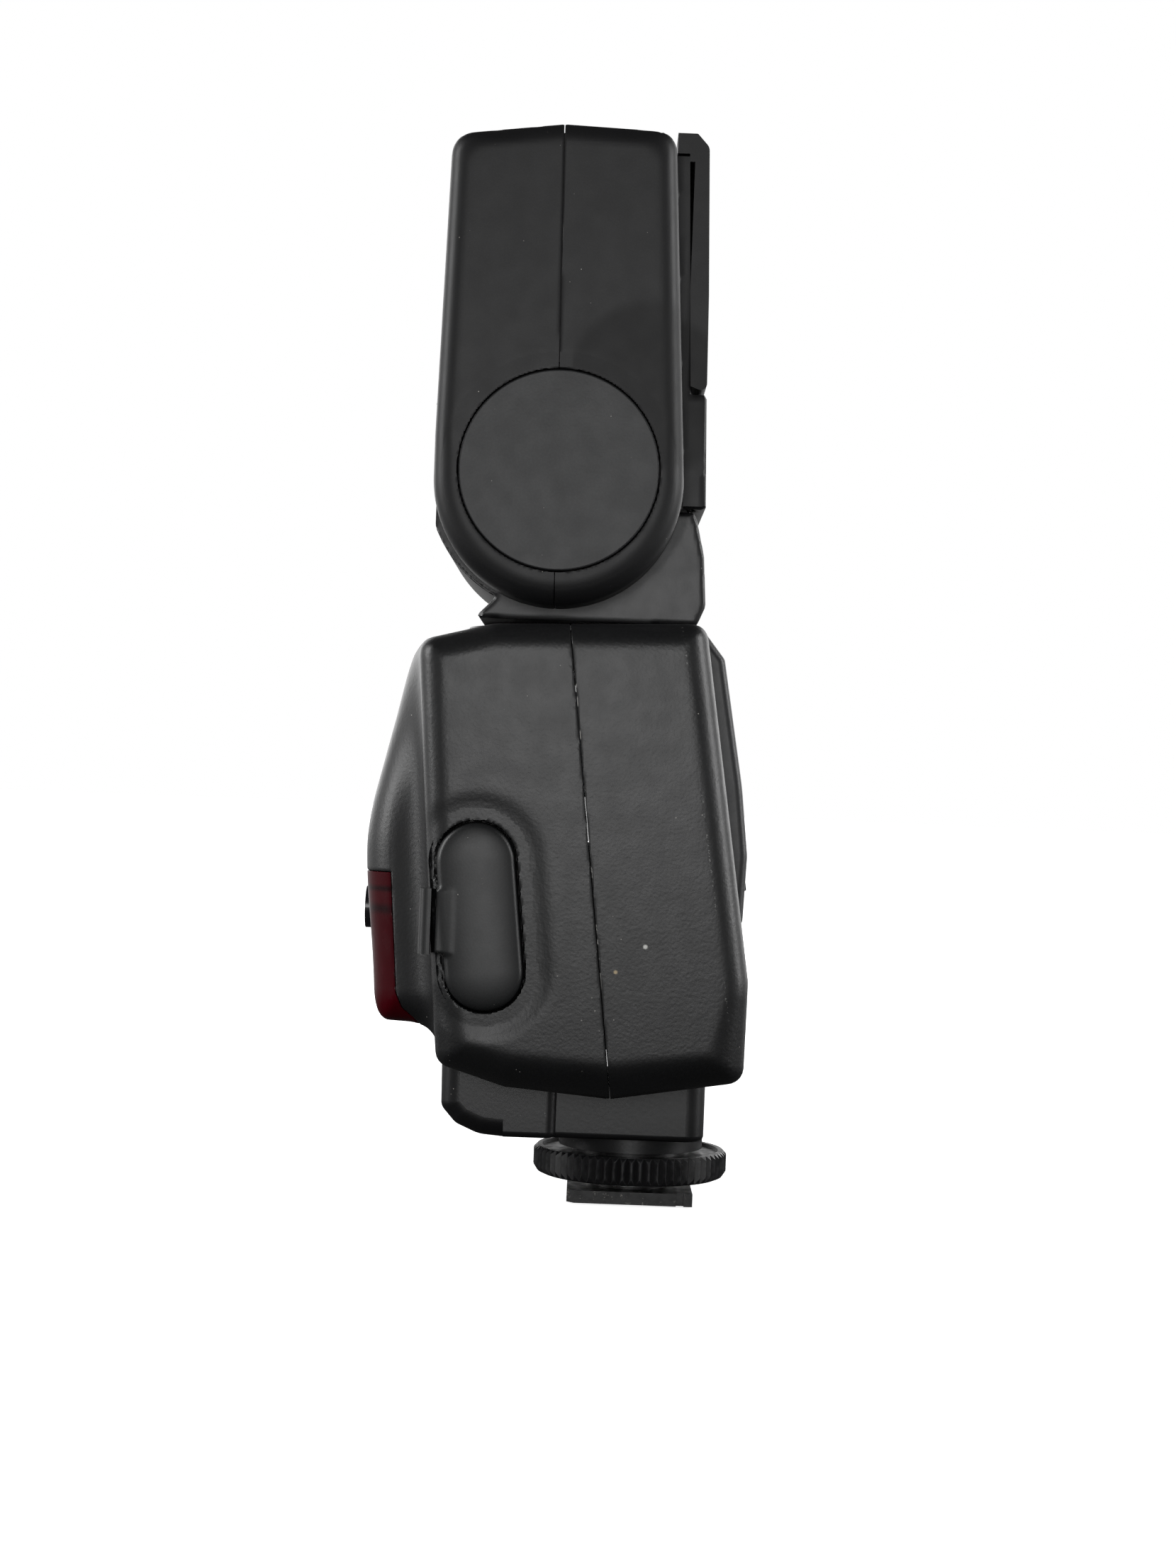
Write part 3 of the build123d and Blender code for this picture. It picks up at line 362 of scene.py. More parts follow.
class Tree:
    """A material's node tree, with short calls for the nodes used here."""

    def __init__(self, name, **sockets):
        self.material = bpy.data.materials.new(name)
        self.material.use_nodes = True
        self.nodes = self.material.node_tree.nodes
        self.links = self.material.node_tree.links
        self.shader = self.nodes["Principled BSDF"]
        self.place = self.nodes.new("ShaderNodeTexCoord").outputs["Object"]
        axes = self.node("ShaderNodeSeparateXYZ", {"Vector": self.place}).outputs
        self.x, self.y, self.z = axes["X"], axes["Y"], axes["Z"]
        self.set(**sockets)

    def put(self, socket, value):
        if isinstance(value, bpy.types.NodeSocket):
            self.links.new(value, socket)
        else:
            socket.default_value = value

    def set(self, **sockets):
        for name, value in sockets.items():
            self.put(self.shader.inputs[name.replace("_", " ")], value)

    def node(self, kind, inputs, **settings):
        made = self.nodes.new(kind)
        for name, value in settings.items():
            setattr(made, name, value)
        for name, value in inputs.items():
            self.put(made.inputs[name], value)
        return made

    def noise(self, size, detail=2.0, rough=0.5, stretch=None):
        """Noise whose features are about this many millimetres across."""
        place = self.place
        if stretch:
            stretched = self.node("ShaderNodeVectorMath", {0: place, 1: stretch}, operation="MULTIPLY")
            place = stretched.outputs[0]
        inputs = {"Vector": place, "Scale": PER_METRE / size, "Detail": detail, "Roughness": rough}
        return self.node("ShaderNodeTexNoise", inputs).outputs["Fac"]

    def cells(self, size, feature="F1"):
        inputs = {"Vector": self.place, "Scale": PER_METRE / size}
        return self.node("ShaderNodeTexVoronoi", inputs, feature=feature).outputs["Distance"]

    def math(self, operation, a, b=0.0, c=0.0):
        return self.node("ShaderNodeMath", {0: a, 1: b, 2: c}, operation=operation).outputs[0]

    def length(self, a, b):
        """Length of the hypotenuse over two values."""
        squares = [self.math("POWER", self.math("ABSOLUTE", value), 2.0) for value in (a, b)]
        return self.math("SQRT", self.math("ADD", *squares))

    def span(self, value, low, high, to_low=0.0, to_high=1.0):
        """Value carried from one range to another, clamped, with a soft start and end."""
        inputs = {"Value": value, "From Min": low, "From Max": high, "To Min": to_low, "To Max": to_high}
        made = self.node("ShaderNodeMapRange", inputs, interpolation_type="SMOOTHSTEP")
        return made.outputs["Result"]

    def mix(self, amount, a, b):
        """Colour mix: a mix node's sockets 6, 7 and output 2 are its colours."""
        made = self.nodes.new("ShaderNodeMix")
        made.data_type = "RGBA"
        self.put(made.inputs[0], amount)
        self.put(made.inputs[6], colour(a))
        self.put(made.inputs[7], colour(b))
        return made.outputs[2]

    def bump(self, height, depth):
        """Bump of this many millimetres for a height from 0 to 1."""
        inputs = {"Height": height, "Distance": depth * MM, "Strength": 1.0}
        return self.node("ShaderNodeBump", inputs).outputs["Normal"]

    def attribute(self, name):
        return self.node("ShaderNodeAttribute", {}, attribute_name=name).outputs["Fac"]

    def line(self, a, b, offset=0.0):
        """Distance in millimetres from a line through two (Y, Z) points, plus an offset."""
        d = Vector((b[0] - a[0], b[1] - a[1])).normalized()
        n = Vector((d.y, -d.x)) if d.y > 0 else Vector((-d.y, d.x))
        y = self.math("MULTIPLY", self.y, n.x / MM)
        z = self.math("MULTIPLY", self.z, n.y / MM)
        total = self.math("ADD", y, z)
        return self.math("ADD", total, offset - n.x * a[0] - n.y * a[1])

    def near(self, value, width):
        """1 where a distance is about 0, falling to 0 at this width."""
        return self.span(self.math("ABSOLUTE", value), 0.0, width, 1.0, 0.0)

    def spot(self, y, z, r, soft=0.15):
        """1 inside a round spot at (Y, Z) on the side faces."""
        dy = self.math("MULTIPLY_ADD", self.y, PER_METRE, -y)
        dz = self.math("MULTIPLY_ADD", self.z, PER_METRE, -z)
        return self.span(self.length(dy, dz), r - soft, r + soft, 1.0, 0.0)


def colour(value):
    return value if isinstance(value, bpy.types.NodeSocket) else (*value, 1.0)


def both(tree, a, b):
    return tree.math("MULTIPLY", a, b)


def dust(tree, base, amount):
    """Sparse pale specks and lint over a colour."""
    specks = tree.span(tree.cells(1.1), 0.05, 0.11, 1.0, 0.0)
    few = tree.span(tree.noise(5.0, 1.0), 0.66 - 0.1 * amount, 0.72 - 0.1 * amount)
    patches = both(tree, few, tree.span(tree.noise(1.7), 0.45, 0.6))
    return tree.mix(both(tree, specks, patches), base, DUST)


def plastic(name, base, rough, grain=0.38, grain_depth=0.012, mottle=0.25, specks=0.5, wear_and_edge_highlight=None,
            specular=0.5):
    """Moulded plastic: fine grain in bump and gloss, slow mottling, dust, and lighter sharp edges, partly
    wear and partly painted highlight.
    """
    t = Tree(name)
    slow = t.noise(26.0, 3.0)
    fine = t.noise(grain, 1.0)
    pebble = t.cells(grain * 1.5, "SMOOTH_F1")
    dark = tuple(c * (1 - mottle) for c in base)
    light = tuple(c * (1 + mottle) for c in base)
    shade = t.mix(t.span(slow, 0.3, 0.7), dark, light)
    shade = t.mix(t.span(fine, 0.35, 0.75, 0.0, 0.35), shade, tuple(c * 1.9 for c in base))
    shade = dust(t, shade, specks)
    if wear_and_edge_highlight:
        # lighter sharp edges: partly wear, partly a painted highlight where edges catch light
        low, high = wear_and_edge_highlight
        worn_and_lit_edges = both(t, t.span(t.attribute("edge"), low, high), t.span(t.noise(0.8, 3.0), 0.42, 0.62))
        shade = t.mix(both(t, worn_and_lit_edges, 0.22), shade, tuple(c * 3.0 for c in base))
    gloss = t.span(t.noise(3.5, 4.0), 0.25, 0.75, rough - 0.015, rough + 0.02)
    t.set(Base_Color=shade, Roughness=gloss)
    height = t.math("ADD", both(t, fine, 0.6), both(t, pebble, 0.4))
    t.set(Normal=t.bump(height, grain_depth))
    t.shader.inputs["Specular IOR Level"].default_value = specular
    return t


def special_materials():
    """The materials of all slots but the black plastics."""
    made = {}
    # plain moulded parts; the rubber has a finer grain and more dust than the plastic round it
    for slot, name, base, rough, grain, depth, mottle, specks in (
            ("rubber", "rubber", (0.011, 0.0115, 0.012), 0.42, 0.30, 0.008, 0.2, 0.7),
            ("dial_plastic", "dial_black", (0.012, 0.012, 0.014), 0.22, 0.8, 0.002, 0.25, 0.3),
            ("white_card", "white_card", (0.80, 0.80, 0.78), 0.5, 0.6, 0.004, 0.04, 0.0),
            ("lcd_grey", "lcd_grey", (0.30, 0.34, 0.27), 0.35, 1.2, 0.002, 0.08, 0.0),
            ("circuit", "circuit", (0.02, 0.12, 0.05), 0.4, 1.0, 0.03, 0.5, 0.2),
            ("cell_wrap", "cell_wrap", (0.16, 0.20, 0.26), 0.3, 1.5, 0.003, 0.15, 0.0),
            ("capacitor_wrap", "capacitor_wrap", (0.02, 0.03, 0.07), 0.28, 1.5, 0.003, 0.2, 0.0),
            ("lamp_plastic", "lamp_plastic", (0.62, 0.22, 0.04), 0.3, 0.8, 0.003, 0.12, 0.1)):
        made[slot] = plastic(name, base, rough, grain, depth, mottle, specks).material
    # red window: deep red, darker where the parts behind it show through
    t = Tree("red_window")
    height = t.math("MULTIPLY", t.z, PER_METRE)
    bands = t.math("MAXIMUM", t.near(t.math("SUBTRACT", height, 49.3), 0.8),
                   t.near(t.math("SUBTRACT", height, 46.2), 1.3))
    red = t.mix(t.span(height, 30.0, 44.0), (0.050, 0.0004, 0.003), (0.045, 0.0004, 0.003))
    red = t.mix(t.span(height, 44.0, 47.0), red, (0.050, 0.001, 0.004))
    red = t.mix(both(t, bands, 0.85), red, (0.008, 0.001, 0.002))
    red = t.mix(t.span(t.noise(2.2, 3.0), 0.55, 0.8, 0.0, 0.35), red, (0.07, 0.003, 0.008))
    t.set(Base_Color=red, Roughness=t.span(t.noise(4.0, 3.0), 0.3, 0.7, 0.16, 0.30))
    t.set(Normal=t.bump(t.noise(6.0, 2.0), 0.02))
    t.shader.inputs["Specular IOR Level"].default_value = 0.08
    t.shader.inputs["Coat Weight"].default_value = 0.04
    t.shader.inputs["Coat Roughness"].default_value = 0.12
    made["red_window"] = t.material
    # knurled wheel: black, its crests lighter, partly wear and partly painted sheen
    t = Tree("wheel_black")
    radius = t.length(t.x, t.y)
    crest_wear_and_sheen = both(t, t.span(radius, 0.01515, 0.01558), t.span(t.noise(1.6, 4.0), 0.35, 0.6))
    shade = t.mix(t.span(t.noise(8.0, 3.0), 0.3, 0.7), (0.005, 0.0051, 0.0055), (0.010, 0.010, 0.011))
    shade = dust(t, t.mix(both(t, crest_wear_and_sheen, 0.6), shade, (0.045, 0.045, 0.047)), 0.9)
    t.set(Base_Color=shade, Roughness=t.span(t.noise(1.2, 3.0), 0.3, 0.7, 0.28, 0.42))
    t.set(Normal=t.bump(t.noise(0.5, 2.0), 0.01))
    made["wheel_black"] = t.material
    # foot: black coating with long scratches that bare the metal at the edges
    t = Tree("foot_metal")
    scratch = t.noise(0.7, 5.0, 0.7, (0.12, 1.0, 1.0))
    bare = both(t, t.span(scratch, 0.60, 0.66), t.span(t.noise(3.0, 3.0), 0.42, 0.58))
    shade = t.mix(bare, (0.007, 0.007, 0.0073), (0.20, 0.19, 0.175))
    t.set(Base_Color=shade, Metallic=t.span(bare, 0.2, 0.8, 0.0, 1.0))
    t.set(Roughness=t.span(t.noise(1.5, 4.0), 0.3, 0.7, 0.30, 0.52), Normal=t.bump(scratch, 0.02))
    made["foot_metal"] = t.material
    # bare metals
    for name, tone, rough in (
            ("steel", (0.46, 0.46, 0.47), 0.30),
            ("black_steel", (0.04, 0.04, 0.042), 0.35),
            ("gold", (0.78, 0.55, 0.20), 0.22),
            ("mirror_metal", (0.86, 0.86, 0.87), 0.12),
            ("motor_can", (0.42, 0.42, 0.43), 0.36)):
        t = Tree(name)
        brushed = t.noise(0.5, 4.0, 0.6, (1.0, 1.0, 0.15))
        dull = tuple(c * 0.72 for c in tone)
        t.set(Base_Color=t.mix(t.span(brushed, 0.3, 0.7), dull, tone))
        t.set(Roughness=t.span(t.noise(2.0, 3.0), 0.3, 0.7, rough - 0.06, rough + 0.08))
        t.set(Normal=t.bump(brushed, 0.004))
        t.shader.inputs["Metallic"].default_value = 1.0
        made[name] = t.material
    # clear parts
    for name, tone, rough in (
            ("lens_clear", (0.90, 0.93, 0.93), 0.08),
            ("clear_panel", (0.86, 0.90, 0.90), 0.12),
            ("tube_glass", (0.93, 0.93, 0.90), 0.03),
            ("lcd_glass", (0.60, 0.64, 0.58), 0.10)):
        t = Tree(name)
        t.set(Base_Color=t.mix(t.noise(9.0, 2.0), tuple(c * 0.93 for c in tone), tone))
        t.set(Roughness=t.span(t.noise(3.0, 3.0), 0.3, 0.7, rough, rough + 0.07))
        t.shader.inputs["Transmission Weight"].default_value = 0.9
        t.shader.inputs["IOR"].default_value = 1.49
        made[name] = t.material
    return made


def body_material():
    """Body plastic, with painted highlights on its rear edge crease and its seam, and pale spots on its
    side.
    """
    # the body's sharp edges are lighter: partly wear, partly painted highlight
    t = plastic("body_plastic", (0.0065, 0.0067, 0.0072), 0.40, grain=0.42, grain_depth=0.034,
                wear_and_edge_highlight=(0.35, 0.8))
    shade = t.shader.inputs["Base Color"].links[0].from_socket
    side = t.span(t.x, *SIDE_FACE)
    # painted highlight: pale flecks along the crease where the flat side meets the rear rounding
    crease_glints = t.near(t.line(BODY_OUTLINE[3], BODY_OUTLINE[2], 3.75), 0.22)
    glint_specks = both(t, t.span(t.noise(0.35, 2.0), 0.55, 0.66), t.span(t.noise(6.0, 2.0), 0.52, 0.6))
    crease_glints = both(t, both(t, crease_glints, side), both(t, glint_specks, t.span(t.z, 0.030, 0.036)))
    shade = t.mix(both(t, crease_glints, 0.7), shade, (0.30, 0.30, 0.29))
    # painted highlight: pale glints along the body seam
    seam = t.near(t.line(BODY_SEAM[1], BODY_SEAM[0], -0.14), 0.12)
    seam_glints = both(t, t.span(t.noise(2.6, 3.0), 0.54, 0.62), t.span(t.z, 0.034, 0.042))
    shade = t.mix(both(t, both(t, seam, side), both(t, seam_glints, 0.9)), shade, (0.45, 0.44, 0.42))
    shade = t.mix(both(t, t.spot(0.3, 42.8, 0.30), side), shade, (0.80, 0.80, 0.76))
    shade = t.mix(both(t, t.spot(-3.95, 38.9, 0.26), side), shade, (0.55, 0.43, 0.25))
    t.set(Base_Color=shade)
    return t.material


def head_material():
    """Head plastic, with a duller patch on the cheek."""
    t = plastic("head_plastic", (0.0065, 0.0065, 0.0071), 0.47, grain=0.22, grain_depth=0.008, mottle=0.10,
                specular=0.36)
    shade = t.shader.inputs["Base Color"].links[0].from_socket
    smudge = t.math("MULTIPLY", t.spot(-2.0, 126.0, 12.5, 1.2), t.span(t.y, -0.0140, -0.0135))
    shade = t.mix(both(t, smudge, 0.5), shade, (0.003, 0.003, 0.0034))
    gloss = t.shader.inputs["Roughness"].links[0].from_socket
    t.set(Base_Color=shade, Roughness=t.math("MULTIPLY_ADD", smudge, 0.06, gloss))
    return t.material


MATERIALS = special_materials()
MATERIALS["body_plastic"] = body_material()
MATERIALS["head_plastic"] = head_material()
for slot_name, tone, rough, grain, depth in (
        ("turret_plastic", (0.007, 0.007, 0.0077), 0.40, 0.4, 0.012),
        ("disc_plastic", (0.009, 0.0094, 0.0102), 0.46, 0.4, 0.018),
        ("panel_plastic", (0.013, 0.0135, 0.0145), 0.42, 0.4, 0.015),
        ("key_plastic", (0.035, 0.036, 0.038), 0.40, 0.5, 0.008),
        ("block_plastic", (0.006, 0.006, 0.0066), 0.34, 0.4, 0.010),
        ("inner_black", (0.014, 0.014, 0.015), 0.50, 0.6, 0.010)):
    MATERIALS[slot_name] = plastic(slot_name, tone, rough, grain, depth).material

for subpart in frame["record"]["subparts"]:
    cad = frame["nodes"][subpart["node"]]
    cad.data.materials.clear()
    cad.data.materials.append(MATERIALS[subpart["material_slot"]])


# ---- pieces --------------------------------------------------------------------------------------
def add_edge_attribute(obj, field):
    """How sharply the body's surface bends outwards at each point, for the lighter edges (wear and painted
    highlight); 1 / radius in mm.
    """
    points = np.array([v.co for v in obj.data.vertices]) / MM
    total = -6 * field(*points.T)
    for axis in range(3):
        for way in (-EDGE_REACH, EDGE_REACH):
            shift = np.zeros(3)
            shift[axis] = way
            total += field(*(points + shift).T)
    layer = obj.data.attributes.new("edge", "FLOAT", "POINT")
    layer.data.foreach_set("value", (total / EDGE_REACH ** 2).astype(np.float32))


def thicken(obj, depth):
    """Gives an open skin a wall, so that it is a closed solid."""
    wall = obj.modifiers.new("wall", "SOLIDIFY")
    wall.thickness, wall.offset, wall.use_rim = depth * MM, -1, True
    bpy.context.view_layer.objects.active = obj
    obj.select_set(True)
    bpy.ops.object.modifier_apply(modifier=wall.name)
    obj.select_set(False)
    obj.data.set_sharp_from_angle(angle=SHARP)


def soften_rims(bm):
    """Rims of a cut skin drop a little inwards, so that seams catch light on their edges."""
    bm.normal_update()
    rim = {v for e in bm.edges if e.is_boundary for v in e.verts}
    moves = [(v, v.normal.copy()) for v in rim]
    for v, n in moves:
        v.co -= n * RIM_DROP


def half(points, faces, plane, side, extra, soft=True):
    """One side of a skin cut by a seam plane, with a narrow bevelled edge along the seam."""
    bm = make_bmesh(points, faces)
    point, normal = plane
    for offset in (GAP, GAP + BEVEL):
        slice_mesh(bm, point + normal * offset * side, normal)
    keep_faces(bm, lambda c: (c - point).dot(normal) * side > GAP)
    extra(bm)
    if soft:
        soften_rims(bm)
    return bm


def slice_zone(bm, zone, point, normal):
    """Slices only the faces whose centres lie in a zone."""
    near = [f for f in bm.faces if zone(f.calc_center_median())]
    edges = {e for f in near for e in f.edges}
    verts = {v for f in near for v in f.verts}
    bmesh.ops.bisect_plane(bm, geom=list(verts) + list(edges) + near, dist=1e-5,
                           plane_co=point, plane_no=normal)


def cut_region(bm, outline, zone, keep_inside):
    """Cuts a skin along an outline in YZ, only where zone(centre) holds, and keeps one part."""
    for a, b in zip(outline, outline[1:]):
        point, normal = plane_through(a, b)
        for offset in (-BEVEL - GAP, -GAP, GAP, BEVEL + GAP):
            slice_zone(bm, zone, point + normal * offset, normal)
    closed = outline + [(outline[0][0], outline[-1][1])]

    def kept(c):
        if not zone(c):
            return not keep_inside
        d = float(polygon(np.array(c.y), np.array(c.z), closed))
        return d <= -GAP if keep_inside else d >= GAP
    keep_faces(bm, kept)


def cut_door(bm):
    """The opening of the battery door on the -X side."""
    y0, y1, z0, z1 = DOOR
    for point, normal in (((0, y0, 0), (0, 1, 0)), ((0, y1, 0), (0, 1, 0)), ((0, 0, z0), (0, 0, 1)),
                          ((0, 0, z1), (0, 0, 1))):
        slice_zone(bm, lambda c: c.x < -37, point, normal)
    keep_faces(bm, lambda c: not (c.x < -36 and y0 < c.y < y1 and z0 < c.z < z1))


def in_nose(c):
    """Where the cuts of the red window may reach: the nose, but not the body behind it."""
    behind = WINDOW_BEHIND + max(0.0, 31.0 - c.z) * 2
    return c.y < behind and WINDOW_LOW < c.z < WINDOW_HIGH and abs(c.x) < WINDOW_SIDE


def from_flap(c):
    """Distance of a point from the middle line of the rubber cover."""
    return float(capsule_2d(c.y, c.z, FLAP_LOW, FLAP_HIGH, 0.0))


def flap_seat():
    """The finely meshed stretch of the side around the rubber cover, with its pocket."""
    points, faces = surface(body_field, *SEAT_RANGE, FINE_STEP)
    bm = make_bmesh(points, faces)
    keep_faces(bm, lambda c: from_flap(c) < SEAT_REACH and c.x > 33.8)
    for vert in bm.verts:
        vert.co.x += SEAT_PROUD
    obj = to_object(bm, "flap_seat", "body", MATERIALS["body_plastic"])
    thicken(obj, SEAT_WALL)
    add_edge_attribute(obj, body_field)


def body_pieces():
    """The skins of the two body shells, and of the red window between them."""
    points, faces = surface(body_field, *BODY_RANGE, BODY_STEP)
    plane = plane_through(*BODY_SEAM)

    def front_cuts(bm):
        cut_region(bm, WINDOW_OUTLINE, in_nose, False)
        cut_door(bm)
        keep_faces(bm, lambda c: c.x < 33.0 or from_flap(c) > SEAT_REACH - SEAT_OVERLAP)

    for name, side, extra in (("front_shell", -1, front_cuts), ("rear_shell", 1, cut_door)):
        bm = half(points, faces, plane, side, extra)
        obj = to_object(bm, name + "_skin", "body", MATERIALS["body_plastic"])
        thicken(obj, BODY_WALL)
        add_edge_attribute(obj, body_field)
        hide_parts(name)
    bm = make_bmesh(points, faces)
    cut_region(bm, WINDOW_OUTLINE, in_nose, True)
    soften_rims(bm)
    obj = to_object(bm, "red_window_lens", "body", MATERIALS["red_window"])
    thicken(obj, BODY_WALL)
    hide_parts("af_window")


def disc_rims():
    """The finely meshed stretch of both cheeks round the edge of the pivot covers, split by the seam."""
    plane = plane_through(*HEAD_SEAM)

    def ring(bm):
        keep_faces(bm, lambda c: DISC_RIM_IN < math.hypot(c.y - PIVOT_Y, c.z - PIVOT_Z) < DISC_RIM_OUT)
        for vert in bm.verts:
            vert.co.x += math.copysign(SEAT_PROUD, vert.co.x)

    for label, low_x, high_x in (("left", -36.6, -33.6), ("right", 33.6, 36.6)):
        points, faces = surface(head_field, (low_x, PIVOT_Y - 19.0, PIVOT_Z - 19.0),
                                (high_x, PIVOT_Y + 19.0, PIVOT_Z + 19.0), FINE_STEP)
        for end, side in (("front", -1), ("rear", 1)):
            bm = half(points, faces, plane, side, ring, soft=False)
            obj = to_object(bm, "disc_rim_%s_%s" % (label, end), "head", MATERIALS["head_plastic"])
            thicken(obj, DISC_RIM_WALL)


def open_inside(bm):
    """Opens the tops of the ear slots, the hole behind the release button, and the discs' rims."""
    ring_in, ring_out = DISC_RIM_IN + DISC_RIM_OVERLAP, DISC_RIM_OUT - DISC_RIM_OVERLAP

    def kept(c):
        radial = math.hypot(c.y - PIVOT_Y, c.z - PIVOT_Z)
        slot_top = c.z > 127.5 and 21.0 < abs(c.x) < 25.4 and radial < 21.6
        button_hole = c.x < -33.0 and radial < BUTTON_HOLE_R
        disc_rim = abs(c.x) > 33.3 and ring_in < radial < ring_out
        return not slot_top and not button_hole and not disc_rim
    keep_faces(bm, kept)


def head_pieces():
    """The skins of the two head shells."""
    points, faces = surface(head_field, *HEAD_RANGE, BODY_STEP)
    plane = plane_through(*HEAD_SEAM)
    for name, side in (("head_front_shell", -1), ("head_rear_shell", 1)):
        bm = half(points, faces, plane, side, open_inside)
        obj = to_object(bm, name + "_skin", "head", MATERIALS["head_plastic"])
        thicken(obj, HEAD_WALL)
        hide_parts(name)


def seam_tongue(name, body, chain, x_out, slot):
    """The lip that one shell puts behind the seam of each cheek, a strip along a chain of (Y, Z)."""
    bm = bmesh.new()
    for way in (-1, 1):
        rows = []
        for y, z in chain:
            corners = ((x_out - 0.9, y - 1.6), (x_out - 0.9, y + 1.6), (x_out, y + 1.6), (x_out, y - 1.6))
            rows.append([bm.verts.new((way * x, at, z)) for x, at in corners])
        for low, high in zip(rows, rows[1:]):
            for i in range(4):
                j = (i + 1) % 4
                bm.faces.new((low[i], low[j], high[j], high[i]))
        bm.faces.new(rows[0])
        bm.faces.new(rows[-1])
    bmesh.ops.recalc_face_normals(bm, faces=bm.faces)
    obj = to_object(bm, name, body, MATERIALS[slot], smooth=False)


def small_piece(field, corners, step, name, body, slot, node):
    """A closed piece made from a field in one go, in place of a CAD node."""
    points, faces = surface(field, *corners, step)
    obj = to_object(make_bmesh(points, faces), name, body, MATERIALS[slot])
    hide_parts(node)


body_pieces()
flap_seat()
head_pieces()
disc_rims()
seam_tongue("head_seam_tongue", "head", HEAD_TONGUE, HEAD_TONGUE_X, "head_plastic")
small_piece(turret_field, TURRET_RANGE, TURRET_STEP, "turret_saddle", "turret", "turret_plastic",
            "turret_shell")
small_piece(flap_field, FLAP_RANGE, FLAP_STEP, "terminal_flap_rubber", "terminal_flap", "rubber",
            "terminal_cover")


# ---- studio and camera -----------------------------------------------------------------------------
LIGHT_TARGET = Vector((0.0, -0.012, 0.083))
LIGHTS = (                              # name, place, width and height in metres, watts
    ("front", (1.0, -0.03, 0.16), 0.34, 0.30, 2.4),
    ("left", (0.10, -0.95, 0.42), 0.35, 0.75, 7.0),
    ("right", (0.10, 0.95, 0.42), 0.35, 0.75, 7.0),
    ("behind_left", (-0.8, -0.5, 0.4), 0.5, 0.7, 2.0),
    ("behind_right", (-0.8, 0.6, 0.4), 0.5, 0.7, 2.0))
FLOOR_RADIUS, FLOOR_Z = 6.0, -0.0002
# floor glow for light and reflections: its dark disc within 0.12 m of the object is a painted shadow
FLOOR_GLOW_PAST_PAINTED_SHADOW = (0.12, 0.40, 0.0, 0.55)    # none nearer than 0.12 m, 0.55 beyond 0.40 m
FLOOR_SEEN_GLOW = 0.82
CAMERA_LENS, CAMERA_ROLL, CAMERA_PLACE = 61.16, math.radians(2.2), (0.432, -0.00908, 0.0665)
WHITE = (1.0, 1.0, 1.0, 1.0)


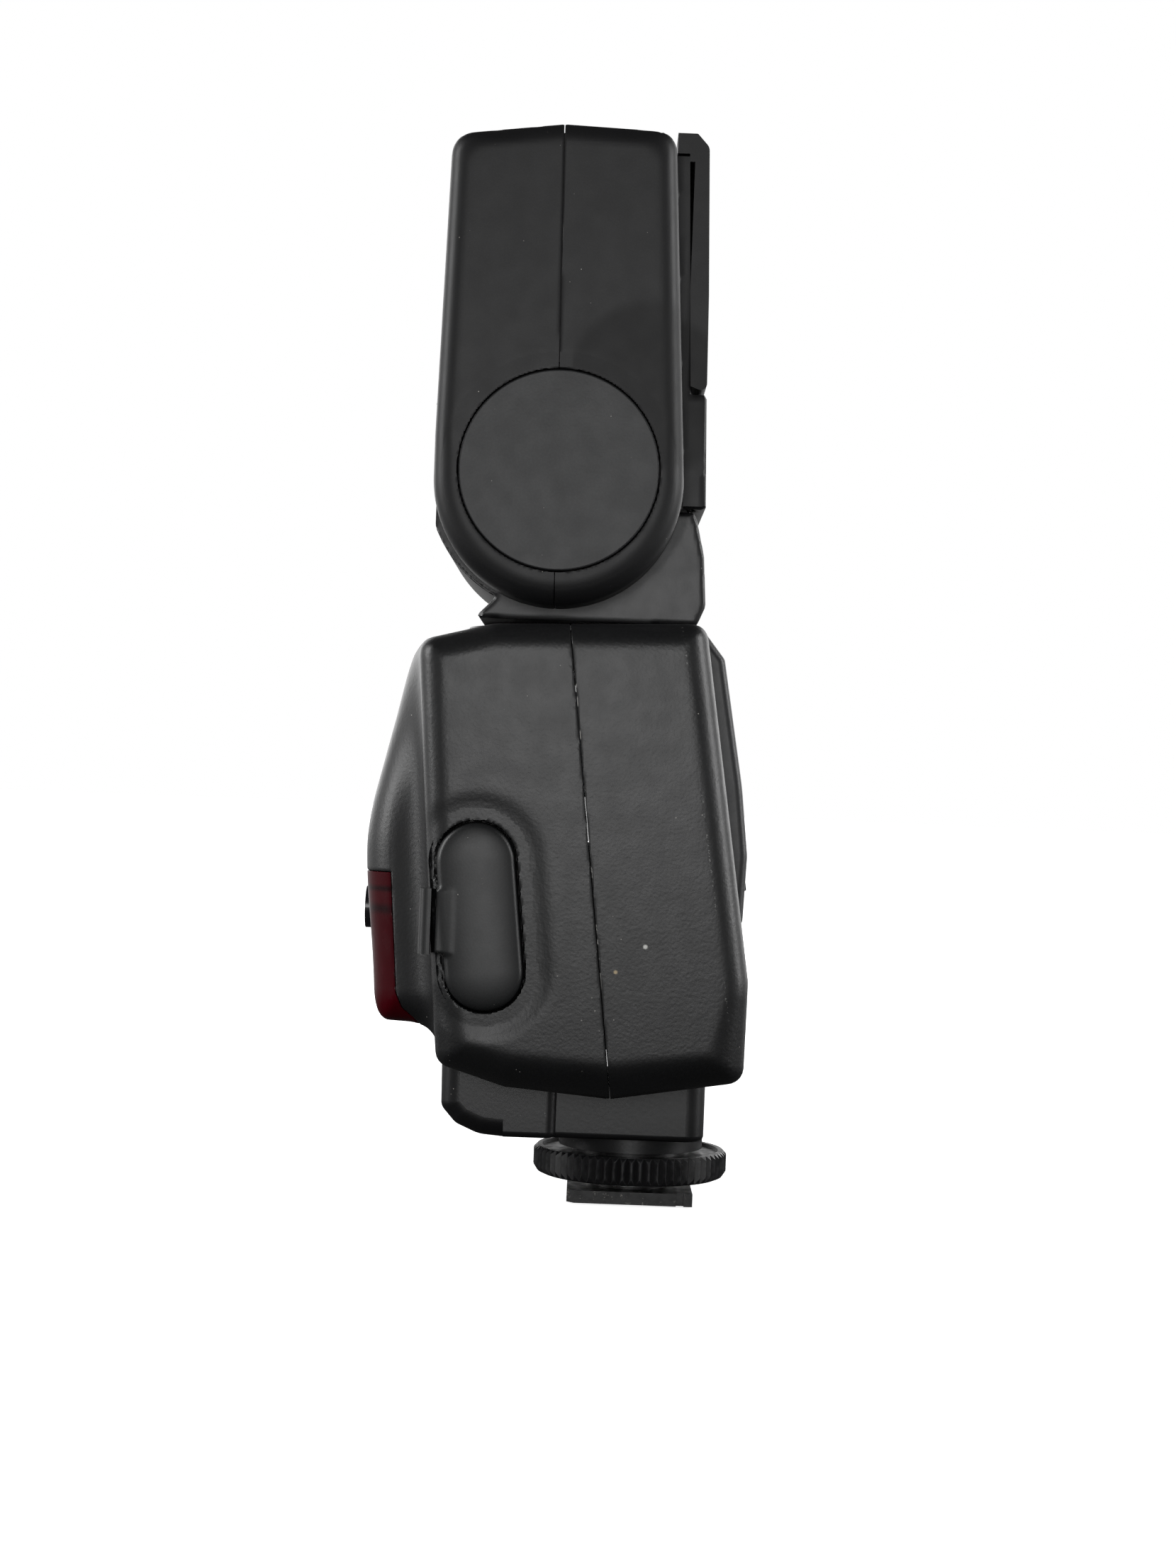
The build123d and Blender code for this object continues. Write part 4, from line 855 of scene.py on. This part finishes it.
def studio():
    """World, floor and lights. The camera sees a white room; reflections see a darker one."""
    scene = bpy.context.scene
    scene.view_settings.view_transform = "Standard"
    scene.view_settings.look = "None"
    world = bpy.data.worlds.new("studio")
    scene.world = world
    world.use_nodes = True
    nodes, links = world.node_tree.nodes, world.node_tree.links
    axes = nodes.new("ShaderNodeSeparateXYZ")
    links.new(nodes.new("ShaderNodeTexCoord").outputs["Generated"], axes.inputs["Vector"])

    def reach(socket, low, high):
        """0 to 1, with a soft start and end, as an axis of the view direction goes from low to high."""
        made = nodes.new("ShaderNodeMapRange")
        made.interpolation_type = "SMOOTHSTEP"
        links.new(socket, made.inputs["Value"])
        made.inputs["From Min"].default_value, made.inputs["From Max"].default_value = low, high
        return made.outputs["Result"]

    def combine(operation, a, b, c=0.0):
        made = nodes.new("ShaderNodeMath")
        made.operation = operation
        for socket, value in zip(made.inputs, (a, b, c)):
            if isinstance(value, bpy.types.NodeSocket):
                links.new(value, socket)
            else:
                socket.default_value = value
        return made.outputs[0]

    sideways = combine("ABSOLUTE", axes.outputs["Y"], 0.0)
    upright = combine("ABSOLUTE", axes.outputs["Z"], 0.0)
    behind = reach(axes.outputs["X"], -0.1, -0.7)
    ahead = combine("MULTIPLY", reach(axes.outputs["X"], 0.55, 0.95), 0.22)
    walls = combine("MULTIPLY_ADD", reach(sideways, 0.6, 0.97), 0.15, combine("ADD", behind, ahead))
    room = combine("MULTIPLY_ADD", walls, reach(upright, 0.62, 0.10), 0.03)
    seen = nodes.new("ShaderNodeMix")
    links.new(nodes.new("ShaderNodeLightPath").outputs["Is Camera Ray"], seen.inputs[0])
    links.new(room, seen.inputs[2])
    seen.inputs[3].default_value = 1.0
    links.new(seen.outputs[0], nodes["Background"].inputs["Strength"])
    nodes["Background"].inputs["Color"].default_value = WHITE

    bm = bmesh.new()
    bmesh.ops.create_circle(bm, cap_ends=True, radius=FLOOR_RADIUS, segments=96)
    mesh = bpy.data.meshes.new("floor")
    bm.to_mesh(mesh)
    bm.free()
    floor = bpy.data.objects.new("floor", mesh)
    scene.collection.objects.link(floor)
    t = Tree("floor_white")
    camera_ray = t.nodes.new("ShaderNodeLightPath").outputs["Is Camera Ray"]
    shade = t.mix(t.noise(60.0, 3.0), (0.80, 0.80, 0.80), (0.84, 0.84, 0.84))
    t.set(Base_Color=t.mix(camera_ray, (0.06, 0.06, 0.06), shade))
    t.shader.inputs["Roughness"].default_value = 0.9
    t.shader.inputs["Specular IOR Level"].default_value = 0.0
    t.shader.inputs["Emission Color"].default_value = WHITE
    # glow past a painted shadow round the object, seen by light and reflections; the camera sees the floor
    # evenly white
    glow_past_painted_shadow = t.span(t.length(t.x, t.y), *FLOOR_GLOW_PAST_PAINTED_SHADOW)
    t.set(Emission_Strength=t.math("MULTIPLY_ADD", camera_ray, FLOOR_SEEN_GLOW, glow_past_painted_shadow))
    floor.data.materials.append(t.material)
    floor.location.z = FLOOR_Z

    for name, place, wide, tall, power in LIGHTS:
        light = bpy.data.lights.new(name, "AREA")
        light.shape, light.size, light.size_y, light.energy = "RECTANGLE", wide, tall, power
        lamp = bpy.data.objects.new(name, light)
        scene.collection.objects.link(lamp)
        lamp.location = place
        lamp.rotation_euler = (LIGHT_TARGET - Vector(place)).to_track_quat("-Z", "Y").to_euler()
        lamp.visible_camera = False


def camera():
    """The camera of the photograph: it looks along -X, rolled a little."""
    data = bpy.data.cameras.new("camera")
    data.lens = CAMERA_LENS
    data.clip_start, data.clip_end = 0.01, 50.0
    obj = bpy.data.objects.new("camera", data)
    bpy.context.scene.collection.objects.link(obj)
    c, s = math.cos(CAMERA_ROLL), math.sin(CAMERA_ROLL)
    x, y, z = CAMERA_PLACE
    obj.matrix_world = Matrix(((0, 0, 1, x), (c, -s, 0, y), (s, c, 0, z), (0, 0, 0, 1)))
    bpy.context.scene.camera = obj


studio()
camera()
